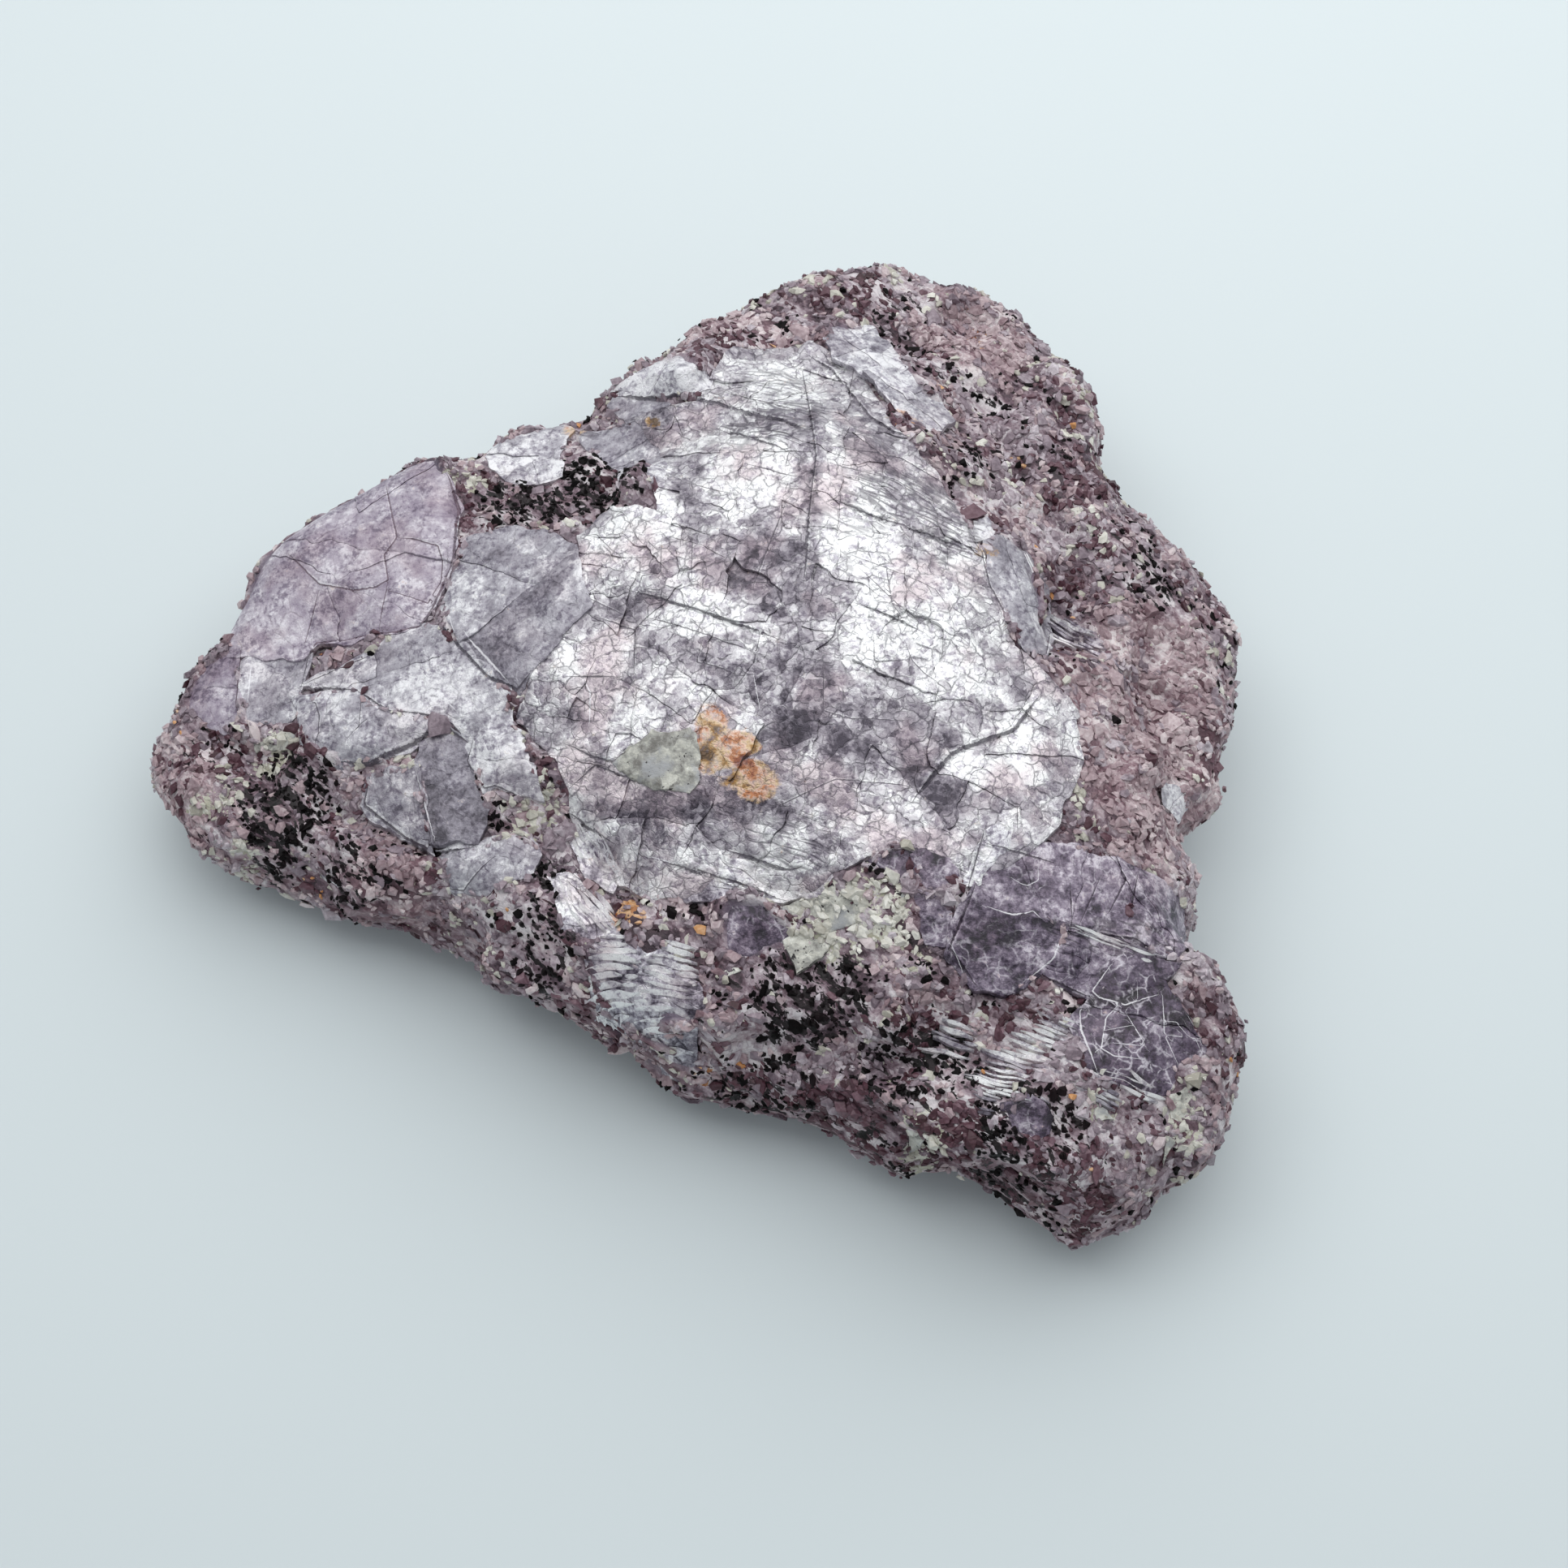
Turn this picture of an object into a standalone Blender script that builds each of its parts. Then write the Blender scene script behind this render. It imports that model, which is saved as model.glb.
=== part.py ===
"""Mica specimen: a hand-sized lump of lepidolite, the lilac lithium mica, grown as one piece.

The stone is drawn in millimetres from four things: the rim, which is its outline seen from above,
the heights of the ground inside the rim, the cleavage sheets that lie on that ground as flat
plates with ledges at their edges, and the creases and clefts between them. A sphere's vertices
are moved onto that form, the granular rock around the sheets is roughened, the mesh is reduced
to flat facets, and the underside is cut level where the stone rests.
"""
import math

import bmesh
import bpy
import numpy as np
from mathutils import Vector, kdtree

NAME = "mica_specimen"
COLLECTION = "Mica specimen"
MM = 0.001                       # one millimetre in Blender's metres

# ---- Driving dimensions, in millimetres -------------------------------------------------------

# The rim: x, y and the height above the table at which the stone is widest, clockwise from the
# west tip. +X is east, +Y is north, and the origin is the middle of the stone's own box.
RIM = (
    (-46.0, -2.5, 6.0), (-44.5, -0.5, 7.0), (-43.5, 3.0, 7.0), (-41.5, 5.5, 9.0),
    (-39.0, 7.0, 9.0), (-38.5, 7.5, 10.0), (-38.5, 10.5, 11.0), (-38.0, 13.5, 12.0),
    (-36.0, 15.0, 12.0), (-32.5, 17.5, 13.0), (-29.0, 19.5, 13.0), (-26.0, 21.5, 13.0),
    (-23.5, 23.0, 13.0), (-21.0, 22.0, 13.0), (-19.0, 22.0, 13.0), (-18.0, 23.5, 13.0),
    (-16.5, 25.0, 13.0), (-14.0, 25.5, 14.0), (-9.5, 27.0, 15.0), (-7.0, 29.5, 16.0),
    (-5.0, 30.0, 16.0), (-2.0, 31.0, 16.0), (1.5, 35.5, 16.0), (4.0, 38.5, 15.0),
    (8.5, 41.0, 14.0), (10.5, 43.0, 13.0), (13.5, 42.5, 13.0), (18.5, 44.0, 12.0),
    (22.0, 41.5, 12.0), (25.5, 42.0, 11.0), (29.0, 39.5, 11.0), (31.0, 36.0, 11.0),
    (34.0, 30.5, 11.0), (34.5, 25.5, 11.0), (34.0, 23.5, 11.0), (34.0, 21.5, 11.0),
    (37.0, 19.0, 11.0), (41.0, 16.5, 10.0), (44.0, 11.5, 10.0), (46.0, 7.0, 9.5),
    (46.0, 4.0, 9.0), (45.0, -3.0, 9.0), (43.5, -8.5, 9.0), (41.5, -10.5, 9.0),
    (39.5, -12.0, 9.0), (40.5, -15.5, 9.0), (40.0, -20.0, 9.0), (38.0, -22.0, 9.0),
    (39.0, -23.5, 8.5), (43.5, -27.5, 7.0), (43.5, -30.5, 7.0), (42.0, -35.5, 7.0),
    (39.5, -39.0, 6.0), (37.0, -40.5, 5.0), (35.0, -43.0, 5.0), (30.5, -44.5, 5.0),
    (28.5, -44.0, 5.0), (24.5, -41.0, 5.0), (21.5, -40.0, 5.0), (16.5, -40.0, 5.0),
    (13.0, -37.0, 5.0), (10.5, -35.0, 5.0), (5.0, -33.0, 5.0), (3.0, -34.0, 5.0),
    (-1.0, -32.5, 5.0), (-3.0, -29.5, 5.0), (-6.5, -28.0, 5.0), (-10.0, -26.0, 5.0),
    (-14.0, -23.5, 5.0), (-15.5, -23.5, 5.0), (-16.5, -21.0, 5.0), (-18.5, -19.5, 5.0),
    (-22.5, -18.5, 5.0), (-28.0, -18.5, 5.0), (-33.5, -14.0, 5.0), (-36.5, -12.5, 5.0),
    (-40.0, -11.5, 6.0), (-42.0, -8.5, 6.0), (-44.5, -6.0, 6.0),
)

# Spot heights of the ground inside the rim: x, y, height.
SPOT_HEIGHTS = (
    # western shoulder and the slope below it
    (-29.0, 12.5, 14.5), (-36.0, 9.5, 12.5), (-41.0, 2.0, 11.0), (-37.0, -6.5, 10.5),
    (-42.0, -7.0, 10.5), (-34.5, -13.0, 11.0), (-25.5, -2.5, 15.0), (-15.5, 6.5, 17.5),
    (-15.0, -7.5, 17.0), (-19.0, -13.0, 14.5), (-20.5, -17.5, 12.5), (-11.0, 21.5, 17.0),
    (-14.5, 22.5, 15.5),
    # the pearly dome in the middle
    (-4.0, 19.5, 20.0), (1.5, 27.5, 19.0), (-6.0, 8.0, 20.5), (2.0, 10.0, 23.0),
    (9.5, 13.5, 24.0), (-6.0, -6.0, 20.5), (3.0, -1.0, 22.5), (3.5, -12.0, 21.5),
    (13.5, 3.0, 23.5), (21.5, 12.0, 21.5), (16.0, -8.0, 22.0), (25.5, -4.0, 21.0),
    (28.5, -12.0, 19.5), (19.0, -20.0, 20.0), (9.5, -18.0, 20.0),
    # the granular slope to the north and east
    (6.5, 35.5, 17.0), (14.0, 34.5, 18.0), (20.5, 38.5, 15.0), (16.5, 23.5, 21.0),
    (24.0, 28.5, 17.0), (29.5, 30.0, 14.5), (27.0, 21.0, 17.5), (26.0, 8.0, 20.0),
    (32.0, 19.5, 15.0), (33.0, 9.0, 16.5), (38.5, 10.5, 13.5), (35.5, -5.0, 16.5),
    (42.0, 5.0, 12.5), (43.0, -2.5, 12.0), (39.0, -9.0, 14.0),
    # the speckled slope to the south
    (-8.0, -16.5, 16.5), (-11.0, -22.0, 13.5), (-3.0, -25.0, 14.5), (1.0, -20.0, 18.0),
    (6.5, -24.0, 17.0), (3.5, -29.0, 14.0), (8.5, -33.0, 13.0), (15.5, -29.5, 16.0),
    (14.5, -36.0, 13.0), (20.5, -38.5, 12.5),
    # the plum-coloured sheets in the south-east corner
    (25.0, -26.0, 18.5), (33.5, -21.0, 17.0), (37.5, -19.5, 14.0), (31.0, -30.0, 17.0),
    (37.5, -28.5, 14.0), (40.5, -31.5, 12.5), (25.0, -34.5, 15.0), (28.0, -40.0, 13.5),
    (34.0, -38.0, 13.5), (37.5, -37.5, 12.5), (29.5, -43.5, 12.0),
)
SPOT_REACH = 4.6                 # how far a spot height spreads
FAR_WEIGHT = 1e-9                # weight that a spot height keeps far away from it

# Cleavage sheets: lift of the sheet above its ground, its extra slope east and north, corners.
SHEETS = {
    "shoulder_west": (0.5, 0.06, 0.00, ((-39.5, 5.5), (-39.5, 9.5), (-39.0, 13.5), (-36.5, 15.5),
                      (-33.0, 16.5), (-32.5, 12.5), (-31.5, 9.5), (-32.0, 7.5), (-32.0, 5.0))),
    "shoulder_north": (0.9, 0.03, -0.03, ((-33.5, 17.5), (-29.5, 20.5), (-26.5, 21.5),
                       (-25.5, 15.5), (-26.0, 12.5), (-26.0, 9.0), (-28.5, 8.5), (-31.5, 9.5),
                       (-32.5, 12.5))),
    "shoulder_east": (1.2, 0.00, 0.03, ((-26.0, 22.0), (-24.0, 24.0), (-21.5, 23.0),
                      (-20.5, 19.0), (-20.0, 15.5), (-20.5, 12.0), (-24.5, 13.5), (-25.5, 15.0))),
    "shoulder_corner": (0.7, -0.04, 0.02, ((-26.0, 13.0), (-20.5, 11.5), (-21.0, 7.5),
                        (-23.5, 5.0), (-25.5, 6.5), (-26.0, 8.5))),
    "shoulder_south": (0.3, 0.00, 0.05, ((-31.5, 9.5), (-28.5, 8.5), (-26.0, 8.5), (-26.0, 6.0),
                       (-28.5, 5.0), (-32.0, 5.0), (-31.5, 7.5))),
    "west_chip": (0.5, 0.05, 0.00, ((-43.5, 2.0), (-42.0, 5.5), (-39.5, 7.0), (-38.0, 6.5),
                  (-37.5, -2.0), (-40.0, -1.0))),
    "blue_sheet": (0.2, 0.04, -0.04, ((-37.5, 4.5), (-34.5, 4.0), (-32.5, 1.0), (-32.0, -3.0),
                   (-36.5, -1.5))),
    "wedge_sheet": (0.5, 0.02, 0.04, ((-32.5, 1.0), (-29.5, 3.5), (-24.0, 4.5), (-20.5, 3.0),
                    (-20.0, -1.0), (-20.0, -4.0), (-23.5, -3.5), (-27.0, -1.0))),
    "lower_sheet": (0.9, 0.02, 0.05, ((-32.5, -0.5), (-27.5, -0.5), (-23.5, -3.5),
                    (-20.0, -4.5), (-22.0, -5.5), (-25.0, -6.5), (-30.0, -6.5), (-32.0, -3.0))),
    "cream_sheet": (0.3, -0.03, 0.02, ((-20.5, 3.0), (-17.5, 1.0), (-15.0, -2.0), (-14.0, -4.5),
                    (-16.5, -6.0), (-20.0, -4.0))),
    "grey_slab": (0.9, -0.04, 0.03, ((-20.5, 14.5), (-16.0, 15.0), (-11.5, 15.5), (-10.0, 9.5),
                  (-11.0, 4.5), (-13.0, -2.0), (-16.5, 0.0), (-20.0, 4.0), (-20.5, 9.5))),
    "round_disc": (0.5, 0.03, 0.00, ((-13.0, -2.0), (-10.0, -1.5), (-8.5, -3.0), (-8.0, -6.0),
                   (-10.0, -6.5), (-13.0, -4.5))),
    "pale_ledge": (0.4, 0.04, 0.06, ((-18.0, -5.0), (-13.5, -5.0), (-12.0, -9.0),
                   (-10.0, -11.5), (-13.5, -10.5), (-16.5, -10.0), (-17.5, -7.5))),
    "prism_west": (0.6, 0.14, 0.00, ((-26.0, -9.5), (-25.5, -8.0), (-22.0, -8.0),
                   (-21.0, -11.0), (-20.0, -14.5), (-22.5, -13.5), (-25.0, -11.5))),
    "prism_east": (0.4, -0.16, 0.00, ((-22.0, -7.5), (-21.0, -5.0), (-18.0, -5.0),
                   (-17.5, -8.5), (-17.0, -12.0), (-18.0, -14.5), (-20.0, -14.5),
                   (-21.0, -11.0))),
    "under_ledge": (0.5, 0.00, 0.08, ((-20.0, -15.0), (-16.0, -14.5), (-13.0, -14.0),
                    (-11.5, -15.5), (-13.0, -17.0), (-15.0, -18.5), (-18.5, -18.0))),
    "toe_sheet": (0.4, 0.00, 0.10, ((-22.0, -19.0), (-18.5, -18.5), (-14.0, -19.0),
                  (-13.5, -21.5), (-16.0, -22.0), (-21.0, -20.0))),
    "pearl_north": (0.3, 0.02, -0.03, ((3.0, 31.0), (8.5, 31.0), (9.5, 22.0), (8.5, 19.5),
                    (3.0, 23.0), (1.0, 25.5))),
    "pearl_ridge": (0.3, 0.00, -0.02, ((0.0, 19.0), (4.5, 19.5), (9.5, 16.0), (8.5, 11.0),
                    (5.5, 7.0), (0.5, 7.5), (-2.5, 12.0))),
    "pearl_west": (0.4, 0.03, 0.00, ((-9.5, 11.5), (-6.5, 13.5), (-3.0, 11.5), (0.0, 7.0),
                   (-2.0, 4.0), (-6.0, 4.5), (-9.0, 6.0))),
    "pearl_middle": (0.4, 0.00, 0.02, ((-14.0, -2.0), (-6.0, 2.5), (0.5, 1.0), (5.5, -1.0),
                     (3.0, -4.5), (0.0, -6.0), (-3.0, -7.5), (-8.5, -9.0), (-11.0, -9.0),
                     (-13.0, -6.0))),
    "pearl_east": (0.4, 0.01, 0.00, ((10.5, 10.5), (13.5, 11.0), (23.0, 9.0), (25.0, 1.0),
                   (21.0, -0.5), (13.5, 2.0), (10.0, 6.0))),
    "pearl_south": (0.2, 0.00, 0.02, ((5.5, -1.0), (13.5, 2.0), (21.0, -1.0), (23.5, -5.0),
                    (18.5, -11.0), (12.5, -11.0), (7.0, -8.0))),
    "book_corner": (0.5, -0.04, 0.03, ((22.5, -9.5), (26.5, -4.5), (31.0, -5.5), (30.0, -10.5),
                    (25.5, -13.5), (22.0, -13.0))),
    "north_lens": (0.9, 0.00, 0.00, ((11.0, 34.5), (14.0, 35.5), (16.0, 31.0), (17.5, 30.5),
                   (21.0, 26.0), (20.5, 22.0), (17.0, 21.5), (15.5, 26.0), (14.0, 28.5),
                   (11.0, 31.0))),
    "curl_book": (0.9, -0.05, 0.00, ((23.0, 9.0), (26.0, 12.0), (28.5, 9.5), (30.0, 6.0),
                  (29.0, 2.0), (26.5, 1.0), (24.5, 3.0), (23.5, 6.5))),
    "violet_sheet": (0.5, 0.03, 0.02, ((23.0, -16.5), (28.5, -16.5), (37.5, -16.0),
                     (40.5, -19.5), (38.5, -23.5), (33.5, -22.5), (28.5, -21.5), (23.0, -20.0))),
    "plum_sheet": (0.3, 0.05, -0.02, ((20.0, -24.0), (22.5, -20.5), (28.5, -22.0),
                   (29.0, -23.5), (27.5, -26.0), (25.5, -27.5), (22.0, -26.5), (20.5, -26.0))),
    "net_sheet": (0.5, 0.04, 0.00, ((31.5, -27.0), (34.5, -25.5), (37.0, -27.5), (39.5, -30.5),
                  (38.5, -33.0), (36.0, -34.5), (30.5, -34.0), (30.0, -31.0))),
    "smoky_lens": (0.5, 0.00, 0.05, ((2.5, -20.5), (6.0, -20.5), (8.0, -23.0), (6.5, -25.5),
                   (3.0, -25.0), (1.5, -23.0))),
}
SHEET_EDGE = 0.45                # width over which a sheet steps down to its ground
SHEET_MARGIN = 1.5               # width over which a smooth sheet gives way to granular rock

# Lines where sheets end or crack: step up on the line's left, depth of the cleft, points.
CREASES = {
    "north_crease": (0.7, 0.3, ((-7.5, 28.5), (0.5, 24.5), (9.5, 19.0), (13.5, 17.0),
                     (22.0, 16.0))),
    "ridge_crease": (0.4, 0.2, ((2.0, 21.5), (6.5, 16.5), (10.0, 14.0))),
    "east_crease": (0.6, 0.3, ((10.5, 11.5), (13.5, 10.5), (18.0, 10.0), (23.0, 9.0))),
    "east_edge": (0.6, 0.2, ((13.5, 2.0), (19.5, 0.0), (25.0, 0.5))),
    "middle_crease": (0.6, 0.3, ((-8.5, 5.0), (-4.0, 4.5), (0.5, 2.0), (5.5, -0.5),
                      (9.5, -1.0))),
    "spine": (0.3, 0.6, ((8.5, 30.5), (9.5, 22.0), (9.5, 14.0), (9.0, 11.0), (9.5, 4.5),
              (8.5, -0.5))),
    "spine_branch": (0.3, 0.4, ((8.0, 12.5), (6.5, 6.5), (5.0, 2.0))),
    "groove": (-0.5, 0.9, ((16.0, -15.0), (18.5, -12.0), (20.0, -10.5), (22.5, -9.5),
               (26.0, -6.5), (28.5, -2.5))),
    "shoulder_seam": (0.0, 0.9, ((-21.0, 20.0), (-20.0, 15.5), (-20.5, 11.0), (-20.5, 7.0),
                      (-23.0, 4.5), (-28.5, 4.5), (-33.5, 4.5))),
    "slab_foot": (0.0, 0.7, ((-20.0, 4.0), (-16.5, -0.5), (-13.5, -2.8))),
    "undercut": (0.9, 1.3, ((-31.0, -7.2), (-25.0, -7.2), (-22.0, -6.2), (-18.0, -5.4))),
    "chip_crack": (0.0, 0.5, ((-38.0, 6.5), (-37.5, -2.0))),
    "dome_foot": (0.9, 0.6, ((-12.5, -10.5), (-9.5, -13.0), (-7.0, -15.5), (-5.0, -18.5),
                  (-2.0, -21.0))),
    "plum_edge": (0.8, 0.6, ((22.0, -29.0), (20.0, -26.0), (19.5, -24.0), (22.5, -20.2))),
    "east_margin": (-0.5, 0.5, ((20.5, 17.0), (22.5, 13.0), (23.2, 9.0), (23.5, 5.0),
                    (25.0, 0.5), (27.0, -2.0))),
}
CREASE_WIDTH = 0.55              # half width of a cleft
CREASE_FADE = 4.0                # distance over which the step beside a crease dies away
CREASE_TAPER = 2.5               # distance over which a crease starts and ends

# Edges of mica books seen side on: centre, half length, half width, turn in degrees.
BOOKS = {
    "south_book": (-1.5, -25.0, 5.0, 6.5, -12.0),
    "corner_book": (26.5, -30.5, 9.5, 4.2, -20.0),
    "toe_book": (-18.5, -20.0, 4.5, 2.2, -8.0),
}
BOOK_PITCH = 2.2                 # distance from one ledge of a book to the next
BOOK_STEP = 0.45                 # height of a ledge
BOOK_MARGIN = 0.4                # share of a book's size over which its ledges fade out

# Outline of the pearly face: inside it the ground is smooth, outside it the rock is granular.
PEARLY_FACE = (
    (-14.0, -4.5), (-13.0, -1.5), (-10.0, 3.0), (-9.5, 11.5), (-6.5, 13.5), (-3.0, 12.5),
    (-3.0, 20.0), (-6.0, 25.5), (0.0, 25.0), (3.0, 31.5), (10.0, 32.0), (14.0, 28.0),
    (16.5, 21.0), (20.5, 16.0), (23.5, 9.5), (25.5, 1.5), (31.0, -4.0), (31.0, -10.0),
    (28.0, -16.0), (22.0, -20.5), (16.5, -17.0), (9.5, -20.0), (-3.0, -20.0), (-5.5, -18.5),
    (-9.5, -12.5), (-10.5, -9.0),
)

SHOULDER_POWER = 22              # how late the crown turns down into the side wall
SHOULDER_START = 0.86            # share of the sphere's vertices that stay on the crown's flat
WALL_START = 0.90                # where the side wall starts, as a share of the radius
FOOT_NORTH = 0.78                # where the belly starts to rise, as a share of the radius
FOOT_SOUTH = 0.60
FOOT_SINK = 1.5                  # how far the belly's middle would reach below the table
FOOT_ROUGHNESS = 0.2             # share of the roughness left in the belly's middle
ROUGH_RISE = 0.67                # share of the belly's rise from which it is fully rough
BELLY_STRAIGHT = 0.5             # share of the belly's rise that is a straight slope
STRATUM = 3.1                    # thickness of the beds that show around the side wall
STRATUM_OVERHANG = 0.9           # how far the top of a bed stands out past its bottom

# Joint blocks of the granular rock, coarse and fine: spacing, how far a block's face stands
# in or out, how much it is tilted, and the width over which it gives way to the next one.
ROCK_BLOCKS = (
    (15.0, 0.5, 0.07, 2.0),
    (7.0, 0.45, 0.14, 1.2),
)
LUMP_SPACING = 3.4               # lumps of clustered grains
LUMP_HEIGHT = 0.75
SMOOTH_SHARE = 0.12              # how much of that roughness is left on the sheets
RIM_SHARE = 0.6                  # and how much of it around the rim
ROCK_BOX = ((-50.0, -50.0, -5.0), (50.0, 50.0, 30.0))   # box that blocks and lumps fill
SEED = 7

ICO_SUBDIVISIONS = 7             # fineness of the sphere that the form is drawn on
RIM_LATITUDE = -0.45             # height on that sphere where its vertices meet the rim
TRIANGLES = 9900                 # facets kept before the resting face is cut
MERGE_DISTANCE = 0.03 * MM

STONE_COLOUR = (0.45, 0.38, 0.46, 1.0)
STONE_ROUGHNESS = 0.45
STONE_METALLIC = 0.1


# ---- Plane geometry ---------------------------------------------------------------------------

def smooth_step(value):
    """Ease from 0 to 1 as value goes from 0 to 1."""
    t = np.clip(value, 0.0, 1.0)
    return t * t * (3.0 - 2.0 * t)


def distance_to_line(points, line):
    """Return the distance to a polyline, and on which side a point lies (left is positive)."""
    nearest = np.full(len(points), np.inf)
    side = np.zeros(len(points))
    for start, end in zip(line[:-1], line[1:]):
        start, along = np.array(start), np.subtract(end, start)
        offset = points - start
        share = np.clip(offset @ along / (along @ along), 0.0, 1.0)
        gap = np.linalg.norm(offset - share[:, None] * along, axis=1)
        closer = gap < nearest
        turn = along[0] * offset[:, 1] - along[1] * offset[:, 0]
        nearest = np.where(closer, gap, nearest)
        side = np.where(closer, np.sign(turn), side)
    return nearest, side


def depth_inside(points, corners):
    """Return how far each point lies inside a polygon; outside, the value is negative."""
    nearest, _ = distance_to_line(points, list(corners) + [corners[0]])
    inside = np.zeros(len(points), dtype=bool)
    x, y = points[:, 0], points[:, 1]
    for (x0, y0), (x1, y1) in zip(corners, corners[1:] + corners[:1]):
        if y0 == y1:
            continue
        crosses = (y0 > y) != (y1 > y)
        inside ^= crosses & (x < x0 + (y - y0) * (x1 - x0) / (y1 - y0))
    return np.where(inside, nearest, -nearest)


def rim_at(angle):
    """Return the rim's radius and height in each direction from the stone's middle."""
    rim = np.array(RIM)
    rim = rim[np.argsort(np.arctan2(rim[:, 1], rim[:, 0]))]
    turned = np.arctan2(rim[:, 1], rim[:, 0])
    after = np.searchsorted(turned, angle) % len(rim)
    start, end = rim[after - 1], rim[after]
    ray = np.stack([np.cos(angle), np.sin(angle)], axis=1)
    edge = (end - start)[:, :2]
    across = ray[:, 0] * edge[:, 1] - ray[:, 1] * edge[:, 0]
    radius = (start[:, 0] * edge[:, 1] - start[:, 1] * edge[:, 0]) / across
    share = (start[:, 0] * ray[:, 1] - start[:, 1] * ray[:, 0]) / across
    height = start[:, 2] + share * (end - start)[:, 2]
    return radius, height


# ---- The ground, the sheets and the creases -----------------------------------------------------

def ground(points):
    """Return the smooth ground, the average of the spot heights weighted by nearness."""
    total = np.zeros(len(points))
    weights = np.zeros(len(points))
    for x, y, height in SPOT_HEIGHTS:
        apart = np.hypot(points[:, 0] - x, points[:, 1] - y)
        weight = np.exp(-(apart / SPOT_REACH) ** 2 / 2.0) + FAR_WEIGHT
        total += weight * height
        weights += weight
    return total / weights


def lay_sheet(points, heights, sheet):
    """Lay one flat sheet on the ground: the best plane through its corners, lifted and tilted."""
    lift, slope_east, slope_north, corners = sheet
    corner_points = np.array(corners)
    centre = corner_points.mean(axis=0)
    offsets = corner_points - centre
    matrix = np.column_stack([offsets, np.ones(len(offsets))])
    plane = np.linalg.lstsq(matrix, ground(corner_points), rcond=None)[0]
    top = (plane[2] + lift
           + (plane[0] + slope_east) * (points[:, 0] - centre[0])
           + (plane[1] + slope_north) * (points[:, 1] - centre[1]))
    cover = smooth_step(depth_inside(points, corners) / SHEET_EDGE + 0.5)
    return heights + (top - heights) * cover


def cut_crease(points, heights, crease):
    """Raise the ground on one side of a crease and sink a cleft along it."""
    step, depth, line = crease
    gap, side = distance_to_line(points, line)
    ends = [np.linalg.norm(points - np.array(end), axis=1) for end in (line[0], line[-1])]
    taper = smooth_step(np.minimum(*ends) / CREASE_TAPER)
    beside = step * np.exp(-gap / CREASE_FADE) * np.where(side > 0, 1.0, 0.0)
    cleft = depth * np.exp(-(gap / CREASE_WIDTH) ** 2)
    return heights + taper * (beside - cleft)


def stack_book(points, heights, book):
    """Turn a patch of ground into the stacked ledges of a mica book seen side on."""
    x, y, half_length, half_width, turn = book
    along = math.radians(turn)
    dx, dy = points[:, 0] - x, points[:, 1] - y
    u = dx * math.cos(along) + dy * math.sin(along)
    v = dy * math.cos(along) - dx * math.sin(along)
    cover = smooth_step((1.0 - np.hypot(u / half_length, v / half_width)) / BOOK_MARGIN)
    ledge = np.mod(v / BOOK_PITCH, 1.0) - 0.5
    return heights - cover * BOOK_STEP * ledge


def crown(points):
    """Return the height of the top surface at each point."""
    heights = ground(points)
    for sheet in SHEETS.values():
        heights = lay_sheet(points, heights, sheet)
    for book in BOOKS.values():
        heights = stack_book(points, heights, book)
    for crease in CREASES.values():
        heights = cut_crease(points, heights, crease)
    return heights


def roughness_share(points):
    """Return 1 on granular rock and a small share on the sheets and the pearly face."""
    depth = depth_inside(points, PEARLY_FACE)
    for _, _, _, corners in SHEETS.values():
        depth = np.maximum(depth, depth_inside(points, corners))
    smooth = smooth_step(depth / SHEET_MARGIN + 0.5)
    return 1.0 - (1.0 - SMOOTH_SHARE) * smooth


# ---- The solid ----------------------------------------------------------------------------------

def crown_profile(share):
    """Turn a vertex's place on the crown into its plan share and its height share.

    The height share falls from 1 in the middle to 0 at the rim, and the vertices beyond
    SHOULDER_START are spread evenly down the side wall.
    """
    plan = share * WALL_START / SHOULDER_START
    level = np.sqrt(1.0 - np.clip(plan, 0.0, WALL_START) ** SHOULDER_POWER)
    turn_start = math.acos(math.sqrt(1.0 - WALL_START ** SHOULDER_POWER))
    down = np.clip((share - SHOULDER_START) / (1.0 - SHOULDER_START), 0.0, 1.0)
    turn = turn_start + down * (math.pi / 2.0 - turn_start)
    wall_plan = np.sin(turn) ** (2.0 / SHOULDER_POWER)
    on_wall = share > SHOULDER_START
    return np.where(on_wall, wall_plan, plan), np.where(on_wall, np.cos(turn), level)


def belly_profile(share, angle):
    """Turn a vertex's place on the belly into its plan share and the share of the rise there."""
    northness = (np.sin(angle) + 1.0) / 2.0
    foot = FOOT_SOUTH + (FOOT_NORTH - FOOT_SOUTH) * northness
    turn = np.clip((share - foot) / (1.0 - foot), 0.0, 1.0) * math.pi / 2.0
    rise = BELLY_STRAIGHT * np.sin(turn) + (1.0 - BELLY_STRAIGHT) * (1.0 - np.cos(turn))
    plan = np.where(turn > 0.0, foot + (1.0 - foot) * np.sin(turn), share)
    return plan, rise


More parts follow.
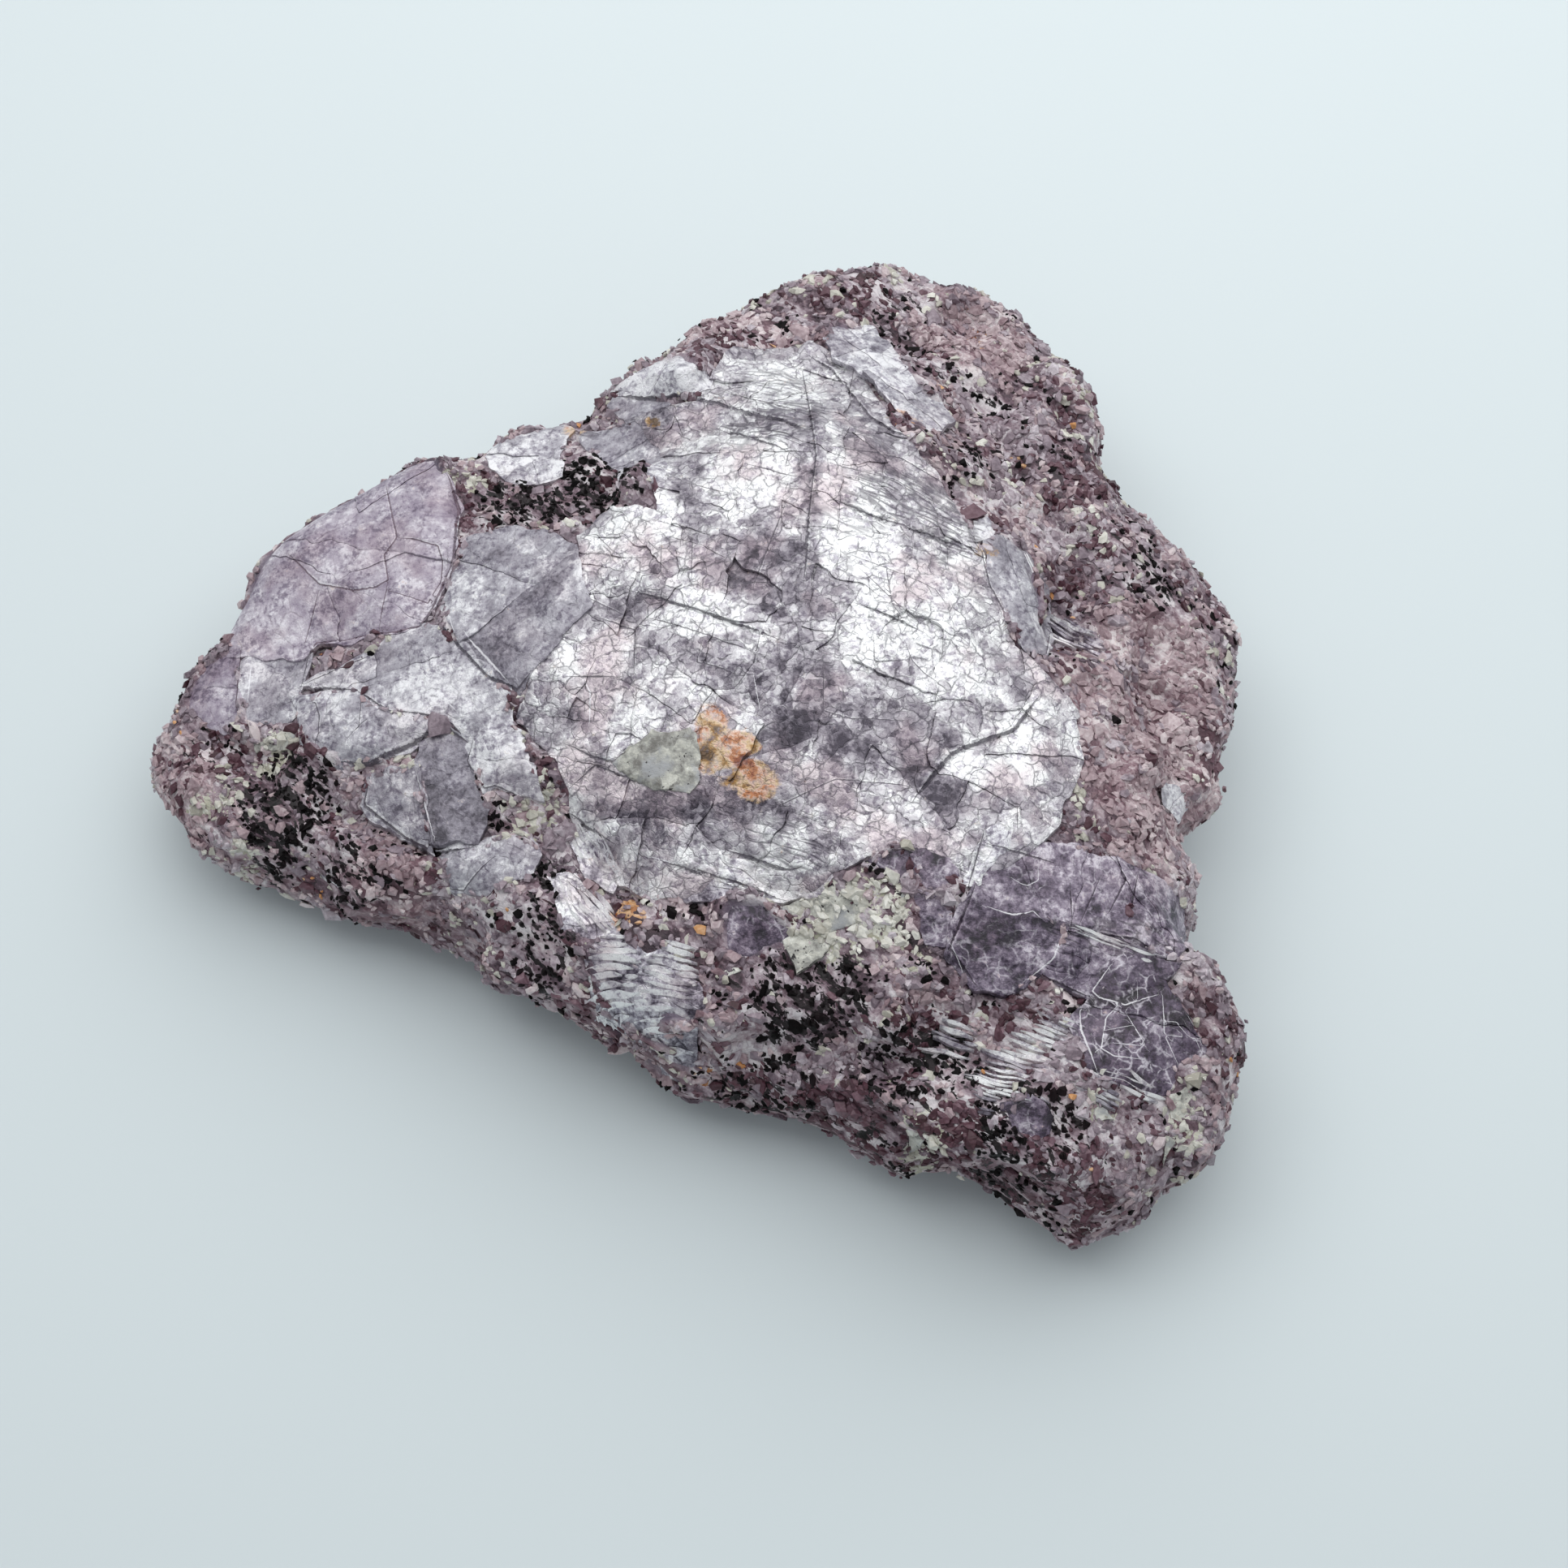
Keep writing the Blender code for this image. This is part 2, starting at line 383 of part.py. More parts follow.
def drawn_form(sphere, top_surface):
    """Move a unit sphere's vertices onto the stone's top surface and belly.

    The part of the sphere above RIM_LATITUDE becomes the crown and the rest the belly. Return
    the points and the share of the rock's roughness that each takes.
    """
    latitude = np.clip(sphere[:, 2], -1.0, 1.0)
    angle = np.arctan2(sphere[:, 1], sphere[:, 0])
    on_top = latitude >= RIM_LATITUDE
    above = np.sqrt(np.clip((1.0 - latitude) / (1.0 - RIM_LATITUDE), 0.0, 1.0))
    below = np.sqrt(np.clip((1.0 + latitude) / (1.0 + RIM_LATITUDE), 0.0, 1.0))
    crown_plan, crown_level = crown_profile(above)
    belly_plan, belly_rise = belly_profile(below, angle)

    radius, rim_height = rim_at(angle)
    reach = radius * np.where(on_top, crown_plan, belly_plan)
    flat = np.stack([np.cos(angle), np.sin(angle)], axis=1) * reach[:, None]
    top = rim_height + (top_surface(flat) - rim_height) * crown_level
    belly = (rim_height + FOOT_SINK) * belly_rise - FOOT_SINK
    height = np.where(on_top, top, belly)

    rough_belly = FOOT_ROUGHNESS + (1.0 - FOOT_ROUGHNESS) * smooth_step(belly_rise / ROUGH_RISE)
    rough = np.where(on_top, roughness_share(flat), rough_belly)
    nearness = smooth_step((np.where(on_top, above, below) - SHOULDER_START)
                           / (1.0 - SHOULDER_START))
    rough *= 1.0 - (1.0 - RIM_SHARE) * nearness
    return np.column_stack([flat, height]), rough


def scattered_seeds(spacing, generator):
    """Return seed points scattered through the stone's box, about one to a cube of spacing."""
    low, high = np.array(ROCK_BOX)
    count = int(np.prod((high - low) / spacing))
    return generator.uniform(low, high, (count, 3))


def block_faces(points, level, generator):
    """Return how far the faces of one level of joint blocks stand out at each point."""
    spacing, offset, tilt, joint_width = level
    seeds = scattered_seeds(spacing, generator)
    offsets = generator.uniform(-offset, offset, len(seeds))
    tilts = generator.normal(0.0, tilt, seeds.shape)
    tree = tree_of(seeds)
    push = np.zeros(len(points))
    for index, point in enumerate(points):
        (_, first, near), (_, second, far) = tree.find_n(point, 2)
        own, other = (offsets[block] + tilts[block] @ (point - seeds[block])
                      for block in (first, second))
        joint = 0.5 * (1.0 - smooth_step((far - near) / joint_width))
        push[index] = own + (other - own) * joint
    return push


def lumps(points, generator):
    """Return how far lumps of clustered grains stand out at each point."""
    tree = tree_of(scattered_seeds(LUMP_SPACING, generator))
    gaps = np.array([tree.find(point)[2] for point in points])
    return LUMP_HEIGHT * (0.5 - np.minimum(gaps / LUMP_SPACING, 1.0))


def roughen(points, normals, share, generator):
    """Push the surface in and out along its normals as joint blocks, lumps and beds."""
    push = lumps(points, generator)
    for level in ROCK_BLOCKS:
        push += block_faces(points, level, generator)
    steepness = 1.0 - np.abs(normals[:, 2])
    bed = np.mod((points[:, 2] + push) / STRATUM, 1.0) - 0.5
    push += STRATUM_OVERHANG * bed * steepness
    return points + normals * (push * share)[:, None]


def tree_of(seeds):
    """Return a search tree over seed points."""
    tree = kdtree.KDTree(len(seeds))
    for index, seed in enumerate(seeds):
        tree.insert(seed, index)
    tree.balance()
    return tree


def shaped_sphere():
    """Return a bmesh of the full-detail stone, in metres.

    The plain form gives the directions in which the roughness pushes, because the normals of
    the finished crown jump at every ledge.
    """
    stone = bmesh.new()
    bmesh.ops.create_icosphere(stone, subdivisions=ICO_SUBDIVISIONS, radius=1.0)
    sphere = np.array([vertex.co for vertex in stone.verts])
    place(stone, drawn_form(sphere, ground)[0])
    normals = np.array([vertex.normal for vertex in stone.verts])
    points, rough = drawn_form(sphere, crown)
    place(stone, roughen(points, normals, rough, np.random.default_rng(SEED)))
    return stone


def place(stone, points):
    """Move a bmesh's vertices to points given in millimetres and update its normals."""
    for vertex, point in zip(stone.verts, points):
        vertex.co = Vector(point) * MM
    stone.normal_update()


def reduced(stone, collection):
    """Return the stone reduced to its facets, as a new bmesh."""
    mesh = bpy.data.meshes.new(NAME + "_full")
    stone.to_mesh(mesh)
    full_count = len(stone.faces)
    stone.free()
    carrier = bpy.data.objects.new(NAME + "_full", mesh)
    collection.objects.link(carrier)
    modifier = carrier.modifiers.new("Facets", "DECIMATE")
    modifier.ratio = TRIANGLES / full_count
    evaluated = carrier.evaluated_get(bpy.context.evaluated_depsgraph_get())
    facets = bmesh.new()
    facets.from_mesh(evaluated.to_mesh())
    evaluated.to_mesh_clear()
    bpy.data.objects.remove(carrier)
    bpy.data.meshes.remove(mesh)
    return facets


def cut_resting_face(stone):
    """Cut the belly level with the table and close it with one flat face."""
    geometry = stone.verts[:] + stone.edges[:] + stone.faces[:]
    cut = bmesh.ops.bisect_plane(stone, geom=geometry, plane_co=(0, 0, 0), plane_no=(0, 0, -1),
                                 clear_outer=True)
    border = [item for item in cut["geom_cut"] if isinstance(item, bmesh.types.BMEdge)]
    bmesh.ops.triangle_fill(stone, edges=border, use_beauty=True, normal=(0, 0, -1))
    bmesh.ops.remove_doubles(stone, verts=stone.verts[:], dist=MERGE_DISTANCE)
    bmesh.ops.triangulate(stone, faces=stone.faces[:])
    bmesh.ops.recalc_face_normals(stone, faces=stone.faces[:])


def centre_on_origin(stone):
    """Slide the stone so that the middle of its box stands over the origin."""
    corners = np.array([vertex.co for vertex in stone.verts])
    middle = (corners.min(axis=0) + corners.max(axis=0)) / 2.0
    bmesh.ops.translate(stone, verts=stone.verts[:], vec=Vector((-middle[0], -middle[1], 0.0)))


def stone_material():
    """Return the plain lilac stone material."""
    material = bpy.data.materials.new("lepidolite")
    material.use_nodes = True
    shader = material.node_tree.nodes["Principled BSDF"]
    shader.inputs["Base Color"].default_value = STONE_COLOUR
    shader.inputs["Roughness"].default_value = STONE_ROUGHNESS
    shader.inputs["Metallic"].default_value = STONE_METALLIC
    return material


def main():
    """Build the specimen in a collection of its own."""
    for leftover in list(bpy.data.objects):
        bpy.data.objects.remove(leftover)
    collection = bpy.data.collections.new(COLLECTION)
    bpy.context.scene.collection.children.link(collection)

    stone = reduced(shaped_sphere(), collection)
    cut_resting_face(stone)
    centre_on_origin(stone)

    mesh = bpy.data.meshes.new(NAME)
    stone.to_mesh(mesh)
    stone.free()
    mesh.materials.append(stone_material())
    specimen = bpy.data.objects.new(NAME, mesh)
    collection.objects.link(specimen)


main()
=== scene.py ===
"""Mica specimen, dressed: a hand-sized lump of lepidolite, the lilac lithium mica.

The rock itself is a finer copy of the CAD solid. Cleaved sheets of mica lie on it as mosaics of
thin plates with cracks between them, mica books show their edges as rows of thin blades, and
everything else is a crust of interlocking mineral grains. Lengths are in millimetres until a mesh
is finished, and +Z is up, as in the frame.
"""
import logging
import math
from dataclasses import dataclass
from enum import Enum
from typing import NamedTuple

import bmesh
import bpy
import numpy as np
from mathutils import Matrix, Vector, noise
from mathutils.bvhtree import BVHTree


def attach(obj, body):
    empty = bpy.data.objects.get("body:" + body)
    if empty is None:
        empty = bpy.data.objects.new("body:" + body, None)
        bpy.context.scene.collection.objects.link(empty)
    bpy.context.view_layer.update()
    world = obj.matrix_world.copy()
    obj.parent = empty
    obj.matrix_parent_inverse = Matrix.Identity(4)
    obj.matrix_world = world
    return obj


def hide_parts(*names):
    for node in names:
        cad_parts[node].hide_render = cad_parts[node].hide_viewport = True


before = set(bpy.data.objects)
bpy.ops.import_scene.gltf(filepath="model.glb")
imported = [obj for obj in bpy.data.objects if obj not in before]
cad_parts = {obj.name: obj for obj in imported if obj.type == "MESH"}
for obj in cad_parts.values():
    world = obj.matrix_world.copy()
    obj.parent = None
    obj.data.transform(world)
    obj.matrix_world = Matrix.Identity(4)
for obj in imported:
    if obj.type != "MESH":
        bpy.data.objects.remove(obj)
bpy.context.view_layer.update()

LOG = logging.getLogger("mica_specimen")
NODE = "mica_specimen"
BODY = "root"
MM = 0.001                      # one millimetre in Blender's metres
MERGE = 1e-5                    # metres within which the CAD copy's corners are one
CREASE = math.radians(30.0)     # angle above which an edge of a plate or a blade stays sharp
FOOT = 0.3                      # height up to which corners belong to the resting face

Outline = tuple[tuple[float, float], ...]
Array = np.ndarray
Draws = np.random.Generator
Shape = bmesh.types.BMesh
Mesh = bpy.types.Mesh
Object = bpy.types.Object
Material = bpy.types.Material
Socket = bpy.types.NodeSocket
Value = Socket | float


# ---- Plans: where the minerals, sheets and creases lie, in millimetres --------------------------

class Mineral(Enum):
    """A mineral, or a stain, that colours part of the rock."""

    LILAC = "lilac"
    PLUM = "plum"
    BLACK = "black"
    CREAM = "cream"
    RUST = "rust"
    PINK = "pink"


class Sheen(Enum):
    """Marks on a cleaved face: painted highlight and painted shade for how brightly part of it
    throws the light back, and bundles of parallel creases.
    """

    # painted highlight: whitens the colour where a cleaved face throws the light back brightly
    SILVER = "silver"
    # painted shade: darkens the colour where a cleaved face throws back little light
    PAINTED_SHADE = "dusk"
    BUNDLE = "bundle"            # bundles of parallel creases


class Line(NamedTuple):
    """A line across the sheets."""

    width: float
    step: float                  # how far its left side steps up
    points: Outline


def pairs(run: list[float]) -> Outline:
    """Return the points of a run of x, y, x, y."""
    return tuple(zip(map(float, run[::2]), map(float, run[1::2])))


def drawn_lines(*rows: tuple[float, ...]) -> tuple[Line, ...]:
    """Return lines from rows that hold a width, a step, and the x and y of each point."""
    return tuple(Line(width, step, pairs(run)) for width, step, *run in rows)


# Patches: centre x, y, reach along x and y, and strength.
PATCHES: dict[Enum, tuple[tuple[float, ...], ...]] = {
    Mineral.BLACK: (
        (-11, 17.1, 7.3, 4.1, 0.9), (-40.2, -3.7, 2.9, 2.3, 0.5), (-33.4, -9.2, 3.8, 4.2, 1),
        (-24.2, -12.8, 2, 1.6, 0.5), (-14.9, -12.2, 1.3, 0.8, 0.7), (-11.1, -21.3, 2.3, 5, 0.8),
        (9.2, -27.5, 4.6, 3, 1), (17.5, -33.5, 4.6, 3, 0.9), (5.5, -33.7, 4.5, 2.6, 0.8),
        (25.8, -37.9, 4.4, 3, 0.9), (13.2, -38.6, 4, 2.5, 0.75), (0.8, -27.1, 3, 2.4, 0.4),
        (25.8, 27.2, 2.1, 4.2, 0.45), (30.8, 21.5, 1.8, 2.2, 0.5), (37.8, 9.5, 2.6, 3, 0.55),
        (-17.7, -7.8, 1.3, 2.6, 0.5), (-26.8, -15.1, 3.2, 2.8, 0.6), (17.7, 36.8, 2.4, 3.5, 0.55),
        (20, 31.1, 2.5, 3, 0.45), (23.7, 19.8, 2.5, 2.9, 0.35), (27.2, -42.4, 2.4, 1.8, 0.6),
        (37.1, 14, 2.4, 2.4, 0.45),
    ),
    Mineral.PLUM: (
        (-7.1, 18.5, 2, 1.8, 1), (4.2, -34, 4, 2.6, 0.8), (19.3, -39.3, 3.6, 3, 0.7),
        (27.8, -41.8, 4.6, 3.8, 0.8), (18.2, -30.4, 3, 1.6, 0.7), (25, -29.4, 2.5, 1.4, 0.6),
        (-8.3, -28, 3.4, 2.4, 0.7), (-19.6, 14.5, 0.9, 4.3, 0.8), (7, 29.8, 2.2, 5.1, 0.5),
        (3.5, 31.7, 3.5, 2.9, 0.6), (14, 38.5, 4, 3, 0.5), (35, 20, 4, 4, 0.5),
        (-33, -5, 3, 2, 0.4), (33, 10, 3.5, 4, 0.4), (-39.5, -4.2, 3.4, 2.2, 0.7),
        # The patches at (2, -36) and (10.5, -36.5) also darken the south wall where it lies in
        # shade: painted shade as well as dark maroon mica.
        (2, -36, 5, 2.6, 1), (10.5, -36.5, 4.5, 3.4, 1), (24, -44, 5, 2.4, 0.8),
    ),
    Mineral.CREAM: (
        (12.3, -22.1, 4.6, 3.2, 0.9), (18.1, -37.8, 1.4, 1.5, 0.9), (31.7, -36.2, 1.3, 1.1, 0.9),
        (38.1, -37.1, 1.6, 2.2, 0.8), (-12.9, -12.9, 2.2, 1, 0.8), (-1.3, -9.8, 1.9, 2.5, 0.8),
        (-39.2, -8.5, 2.6, 1.3, 0.7), (-35.9, -12.6, 1.5, 0.9, 0.7), (-34.5, -4.5, 1.6, 1.8, 0.8),
        (-19.6, 20, 1.6, 1.3, 0.8), (-11.3, -11.9, 1, 2.9, 0.7), (22.3, -41.8, 1.8, 1.2, 0.7),
        (17, -25.5, 2, 1.5, 0.5),
    ),
    Mineral.RUST: (
        (1.5, -8.5, 1.3, 3, 0.8), (3.7, -9.2, 1.5, 1.5, 1), (4.8, -12, 2.2, 1.4, 0.8),
        (-4.8, -21, 1.2, 1.4, 1), (-10.4, 25.1, 1.4, 0.9, 0.7), (-3.7, 23.8, 0.8, 0.7, 0.8),
        (1, -31.9, 0.6, 0.6, 0.8), (3.9, -35.2, 0.5, 0.5, 0.8), (24.4, 36, 1.8, 2.9, 0.7),
        (12, 39.7, 2.2, 1, 0.5), (17.4, 22, 1.6, 1, 0.6), (23.8, 9, 0.9, 0.8, 0.6),
        (1, 31.9, 1.8, 1.2, 0.4),
    ),
    Mineral.PINK: (
        (37.6, -4.3, 7, 12, 0.9), (24.4, 35.1, 5, 4.5, 0.8), (-42.4, -7.1, 3, 5.4, 0.6),
        (-24.1, -15.5, 3, 4.7, 0.7), (39.3, 15.5, 3.5, 4, 0.5), (4.5, 32.2, 6, 4.4, 0.5),
    ),
    # Painted highlights: patches where cleaved faces are painted paler for throwing the light back
    # brightly.
    Sheen.SILVER: (
        (7, 26, 2.6, 3.6, 1), (4.4, 15.5, 3.6, 4.2, 1), (-4, 11.5, 3.2, 2.4, 0.9),
        (-6.5, 8, 2.7, 3.6, 0.5), (13.5, 8, 3.2, 3.4, 1), (19, 2, 5.9, 4.1, 0.7),
        (13, 13.6, 3, 3.8, 0.7), (21, -3, 3.6, 2.6, 0.7), (0.5, 2.5, 2.6, 2, 0.7),
        (3, 1.5, 1.6, 1.2, 1), (-8, -1.5, 3, 3, 0.6), (-5, -6, 3, 2.4, 0.5),
        (26.1, -9, 1.6, 3.5, 0.9), (22.5, -11, 3, 1.6, 0.7), (-9.5, -9.5, 1.6, 3.4, 0.7),
        (14, -1, 2.4, 1.8, 0.6), (7, -16.5, 2, 1.4, 0.6), (21, 8, 2, 2.6, 0.5),
    ),
    # Painted shade: patches where cleaved faces are painted darker for throwing back little light.
    Sheen.PAINTED_SHADE: (
        (5.7, 7, 3.2, 2.4, 0.9), (1, 15.5, 2.4, 3, 0.9), (7.7, 3.5, 2.6, 2, 0.6),
        (9, -3.5, 2, 3.4, 0.7), (12.5, -7.5, 5, 2.6, 0.9), (17, -9, 3.4, 2.4, 0.7),
        (0.5, -14, 5.4, 2.6, 0.8), (6, -13, 3.4, 2, 0.8), (-2.6, 23.9, 2, 3.2, 0.6),
        (-5.5, 3.5, 1.8, 1.4, 0.6), (9.6, 12, 1, 9, 0.5), (20, -14, 2, 2.4, 0.6),
        (16, 17.5, 2.6, 2, 0.4), (1.5, 8, 2, 1.6, 0.5), (24.5, -1.5, 1.8, 2.4, 0.6),
    ),
    Sheen.BUNDLE: (
        (6.5, 21.5, 4.5, 2.6, 1), (6, 26.5, 3, 2.2, 0.8), (17, 13.5, 5, 2.4, 0.9),
        (21, 10.5, 2.6, 3.6, 0.9), (14, 18.5, 3.6, 1.8, 0.6), (12.5, 10.5, 3.4, 1.6, 0.6),
        (8, -17, 4, 2, 0.7), (3, 19.5, 2.6, 1.6, 0.6), (23, 5, 1.6, 3, 0.6),
        (33, -23.5, 5.5, 1.2, 0.8), (-8.5, 24.5, 3.5, 0.9, 0.7),
    ),
}

# Lines along which sheets are cracked, or end.
CRACKS = drawn_lines(
    (0.32, 0.3, -21, 19.5, -20, 16.5, -20, 11, -21.5, 6.5, -22.5, 5, -24.5, 4.5, -31.5, 5, -32, 4),
    (0.22, 0.2, -20.5, 6.5, -20.5, 4, -16.5, -1, -14, -2.5, -13, -1.5),
    (0.14, 0.1,
     -34.5, 13.5, -31.5, 10, -28.5, 9, -26.5, 9, -25.5, 9.5, -26, 12, -25, 13.5, -26.5, 19.5),
    (0.1, 0, -25.5, 9.5, -26, 5),
    (0.12, 0.1, -31.5, 9.5, -32.5, 5),
    (0.12, 0.1, -25, 13.5, -21.5, 12.5, -21, 11, -21, 9, -22, 7, -25.5, 8.5),
    (0.14, 0.2, -38, 5, -38, 0, -37.5, -1.5),
    (0.18, 0.2, -33, 0, -31, 0.5, -27.5, -0.5),
    (0.1, 0.1, -32.5, 1, -27, 2.5, -26, 3),
    (0.1, 0.1, -32, 4.5, -32.5, 0.5),
    (0.14, 0.2, -27.5, -0.5, -24.5, -3, -20, -4),
    (0.3, 0.4, -28.5, -6.5, -26, -7, -23, -6, -20, -4.5, -18, -6),
    (0.12, 0.1, -17.5, -6, -18, -7.5, -16.5, -10, -15.5, -10, -12.5, -11.5),
    (0.2, 0.3, -26, -8, -26.5, -10, -23, -13, -20.5, -14.5, -17.5, -14.5),
    (0.12, 0.1, -22, -8.5, -20.5, -14.5),
    (0.12, 0.1, -19.5, -17, -18, -17.5, -15.5, -15.5),
    (0.12, 0.1, -32, -1, -31, -1, -30.5, -2.5, -30.5, -4.5),
    (0.1, 0, -27, -1, -27, -4, -28, -5),
    (0.26, 0.2, -7, 27.5, 2, 24.5, 5.5, 22, 9.5, 19.5),
    (0.16, 0.1, 0, 25.5, 2, 26.5),
    (0.14, 0.2, 2, 21.5, 8, 17),
    (0.09, 0, 6, 26.5, 9, 26),
    (0.1, 0.1, 2, 26, 9.5, 21.5),
    (0.09, 0, 5, 20, 9.5, 17.5),
    (0.12, 0.1, 4.5, 16.5, 8.5, 14.5),
    (0.09, 0, -1, 15.5, 3, 13.5),
    (0.12, 0.1, -3, 11.5, 0, 10),
    (0.1, 0, -1.5, 16, 1.5, 17.5),
    (0.1, 0.1, -9, 11, -8, 11, -6.5, 9),
    (0.1, 0, -2.5, 9, -2.5, 6, -4, 6, -4.5, 4.5),
    (0.1, 0, 0, 9.5, 0, 5.5),
    (0.14, 0, -8.5, 5, -5.5, 3),
    (0.14, 0.2, 9, 28.5, 10, 16.5, 9, 7),
    (0.16, 0.1, 9.5, 10.5, 9, 4.5),
    (0.12, 0.1, 7.5, 12, 5, 4.5),
    (0.14, 0.1, -18, 21, -16, 19),
    (0.15, 0.25, -5, 5, 7, -0.5),
    (0.11, 0.1, -3.5, 2.5, 5, -1.5),
    (0.13, 0.2, 5.5, 0, 5, -2.5, 3.5, -4.5, 2, -4.5, 0.5, -4),
    (0.1, 0.1, 1, 0, 0.5, -2, 4, -3.5),
    (0.12, 0.1, -10, -2, -5.5, -2.5),
    (0.13, 0.1, -7.5, 3, -4.5, 1.5, -4.5, -2.5),
    (0.13, 0.2, -10, -7.5, -7.5, -9, -6, -9.5, -3, -7.5),
    (0.12, 0.2, -9.5, -11, -7.5, -9.5, -0.5, -13),
    (0.22, 0.2, -9.5, -12.5, -6, -15.5),
    (0.12, 0.2, -2, -17.5, 2, -19),
    (0.26, 0.2, 3, -17, 7.5, -18.5, 8.5, -18.5),
    (0.09, 0, 10.5, -3, 10.5, -6.5),
    (0.1, 0, 10.5, -7, 16.5, -7),
    (0.1, 0.1, 14.5, -0.5, 14.5, -2.5, 17, -2),
    (0.1, 0, 15.5, 6.5, 16, 2.5, 17, 1),
    (0.12, 0.2, 13, 2.5, 18.5, 0.5),
    (0.1, 0, 6.5, -14, 11.5, -12, 17.5, -12.5),
    (0.12, 0.1, 2, -19.5, 7.5, -20.5),
    (0.3, 0.3, 17.5, -13.5, 20.5, -9.5, 23.5, -8, 25.5, -7, 27.5, -4),
    (0.16, 0.25, 11.5, 12, 14, 11, 23, 9),
    (0.11, 0.1, 11, 17.5, 17, 17.5, 21, 15.5, 22.5, 13.5, 22.5, 11),
    (0.09, 0, 11.5, 15.5, 16.5, 15, 21, 13),
    (0.2, 0.2, 9.5, 30.5, 11.5, 28.5, 14.5, 22, 16.5, 20, 19, 19.5, 20, 20),
    (0.12, 0.1, 22.5, 10.5, 23.5, 9, 24, 6, 26.5, 0.5),
    (0.09, 0, 12.5, 7, 17, 5.5, 19.5, 4.5, 20.5, 3),
    (0.09, 0, 13.5, 5.5, 17.5, 1.5),
    (0.1, 0, 10.5, -3, 10.5, -6.5, 14.5, -7.5),
    (0.1, 0.1, 18, -5.5, 20, -5, 22, -5, 23, -5.5),
    (0.1, 0, 17, -0.5, 17.5, -2, 18.5, -3, 20, -4),
    (0.12, 0.2, 29.5, 5.5, 28.5, 0.5, 26.5, -0.5),
    (0.22, 0.4, 22, -20.5, 20, -25, 22, -27.5),
    (0.13, 0.1, 29.5, -19.5, 29.5, -22.5),
    (0.1, 0.1, 32, -18.5, 30, -23),
    (0.16, 0.2, 33.5, -17.5, 34, -18.5, 32.5, -21.5),
    (0.13, 0.2, 35, -18, 34, -22),
    (0.14, 0.1, 23, -17, 26, -17.5, 28.5, -18),
    (0.12, 0.1, 29.5, -14.5, 31, -14.5, 33.5, -17.5),
    (0.14, 0.2, 29, -23, 34.5, -23.5, 36.5, -24.5),
    (0.16, 0.2, 26.5, -26.5, 31, -28),
    (0.12, 0.1, 25.5, -13.5, 25.5, -16),
    (0.14, 0.1, 21.5, -20.5, 23, -15.5),
    (0.12, 0.2, -2, -17.5, 7.5, -20.5),
    (0.1, 0.1, -2, -17.5, -2, -18.5, -2.5, -19.5),
    (0.16, 0.2, -9.5, -18, -5.5, -21.5),
    (0.12, 0.1, -9.5, -17, -6, -20),
)

# Painted highlights: bright lines painted where the broken edge of a sheet faces the light.
LEDGE_HIGHLIGHTS = drawn_lines(
    (0.22, 0, -18.5, 3, -15, -1.5),
    (0.2, 0, -23, -3, -21.5, -3.5, -21, -3, -20.5, -3),
    (0.2, 0, -37, 3.5, -37, 0.5),
    (0.22, 0, -20, 5, -19.5, 3.5),
    (0.16, 0, -22, -8.5, -20.5, -13.5),
    (0.14, 0, -27, -1, -25.5, -2.5, -23, -3.5),
    (0.16, 0, -20, -2.5, -19, -3.5),
    (0.14, 0, -1.5, 28.5, 0.5, 27.5),
    (0.18, 0, -8.5, -2.5, -8, -3.5, -8, -6),
    (0.22, 0, -9.5, -13, -8, -14, -5.5, -18),
    (0.22, 0, -9.5, -13.5, -9, -17),
    (0.16, 0, -2, -11.5, -0.5, -11),
    (0.14, 0, -3, -17, -0.5, -18),
    (0.12, 0, 5, -3.5, 5.5, -6),
    (0.18, 0, 21, 10.5, 23, 8.5),
    (0.2, 0, 27, 10.5, 28.5, 7.5, 28.5, 6),
    (0.16, 0, 23, -22, 25, -22.5, 26.5, -22, 27, -22.5),
    (0.16, 0, 29, -23, 28, -25.5, 26, -27),
    (0.12, 0, 29, -23, 36.5, -24.5),
    (0.12, 0, 26, -27, 30.5, -28.5),
    (0.14, 0, 32.5, -25.5, 31, -27.5, 31.5, -28, 33.5, -28.5, 36, -27.5),
    (0.13, 0, 33, -28.5, 32, -29.5, 31.5, -32, 32.5, -32.5, 34.5, -32.5),
    (0.11, 0, 33.5, -29, 35, -31.5),
    (0.1, 0, 32, -30.5, 34, -30),
    (0.1, 0, 32.5, -31.5, 35, -31.5),
    (0.11, 0, 36.5, -27.5, 36.5, -30.5, 37.5, -32.5),
    (0.1, 0, 36.5, -29.5, 37.5, -29.5, 38.5, -30.5),
    (0.1, 0, 36.5, -30.5, 39, -30.5, 39.5, -31.5),
    (0.1, 0, 38.5, -29, 39.5, -30.5),
    (0.1, 0, 34.5, -27, 34.5, -28),
    (0.22, 0, 30, -29, 30, -30.5, 31, -33.5),
    (0.14, 0, 28.5, -13.5, 30, -14.5, 30, -13),
    (0.1, 0, 25, -19.5, 26, -20, 27, -19.5, 27, -18.5),
    (0.14, 0, 20, -24.5, 21, -26.5),
    (0.22, 0, -7, -14.5, -5.5, -17.5),
    (0.22, 0, -9, -14.5, -9.5, -16, -9, -17),
    (0.12, 0, -1.5, -17.5, 1, -18.5),
)
STEP_FADE = 2.4                 # distance over which the step beside a crack dies away
LINE_TAPER = 1.8                # distance over which a line starts and ends
LINE_HALF = 0.4                 # half width and depth of a drawn line, as a share of its width
LINE_TIP = 0.35                 # width of its ends, as a share of the rest
LINE_REACH = 0.42               # distance to which a mesh stores a line: over its longest edge
FACING_FADE = 0.4               # change in a normal's z over which a finish comes or goes


# ---- Geometry helpers ---------------------------------------------------------------------------

def smooth_step(value: Array) -> Array:
    """Ease from 0 to 1 as value goes from 0 to 1."""
    t = np.clip(value, 0.0, 1.0)
    return t * t * (3.0 - 2.0 * t)


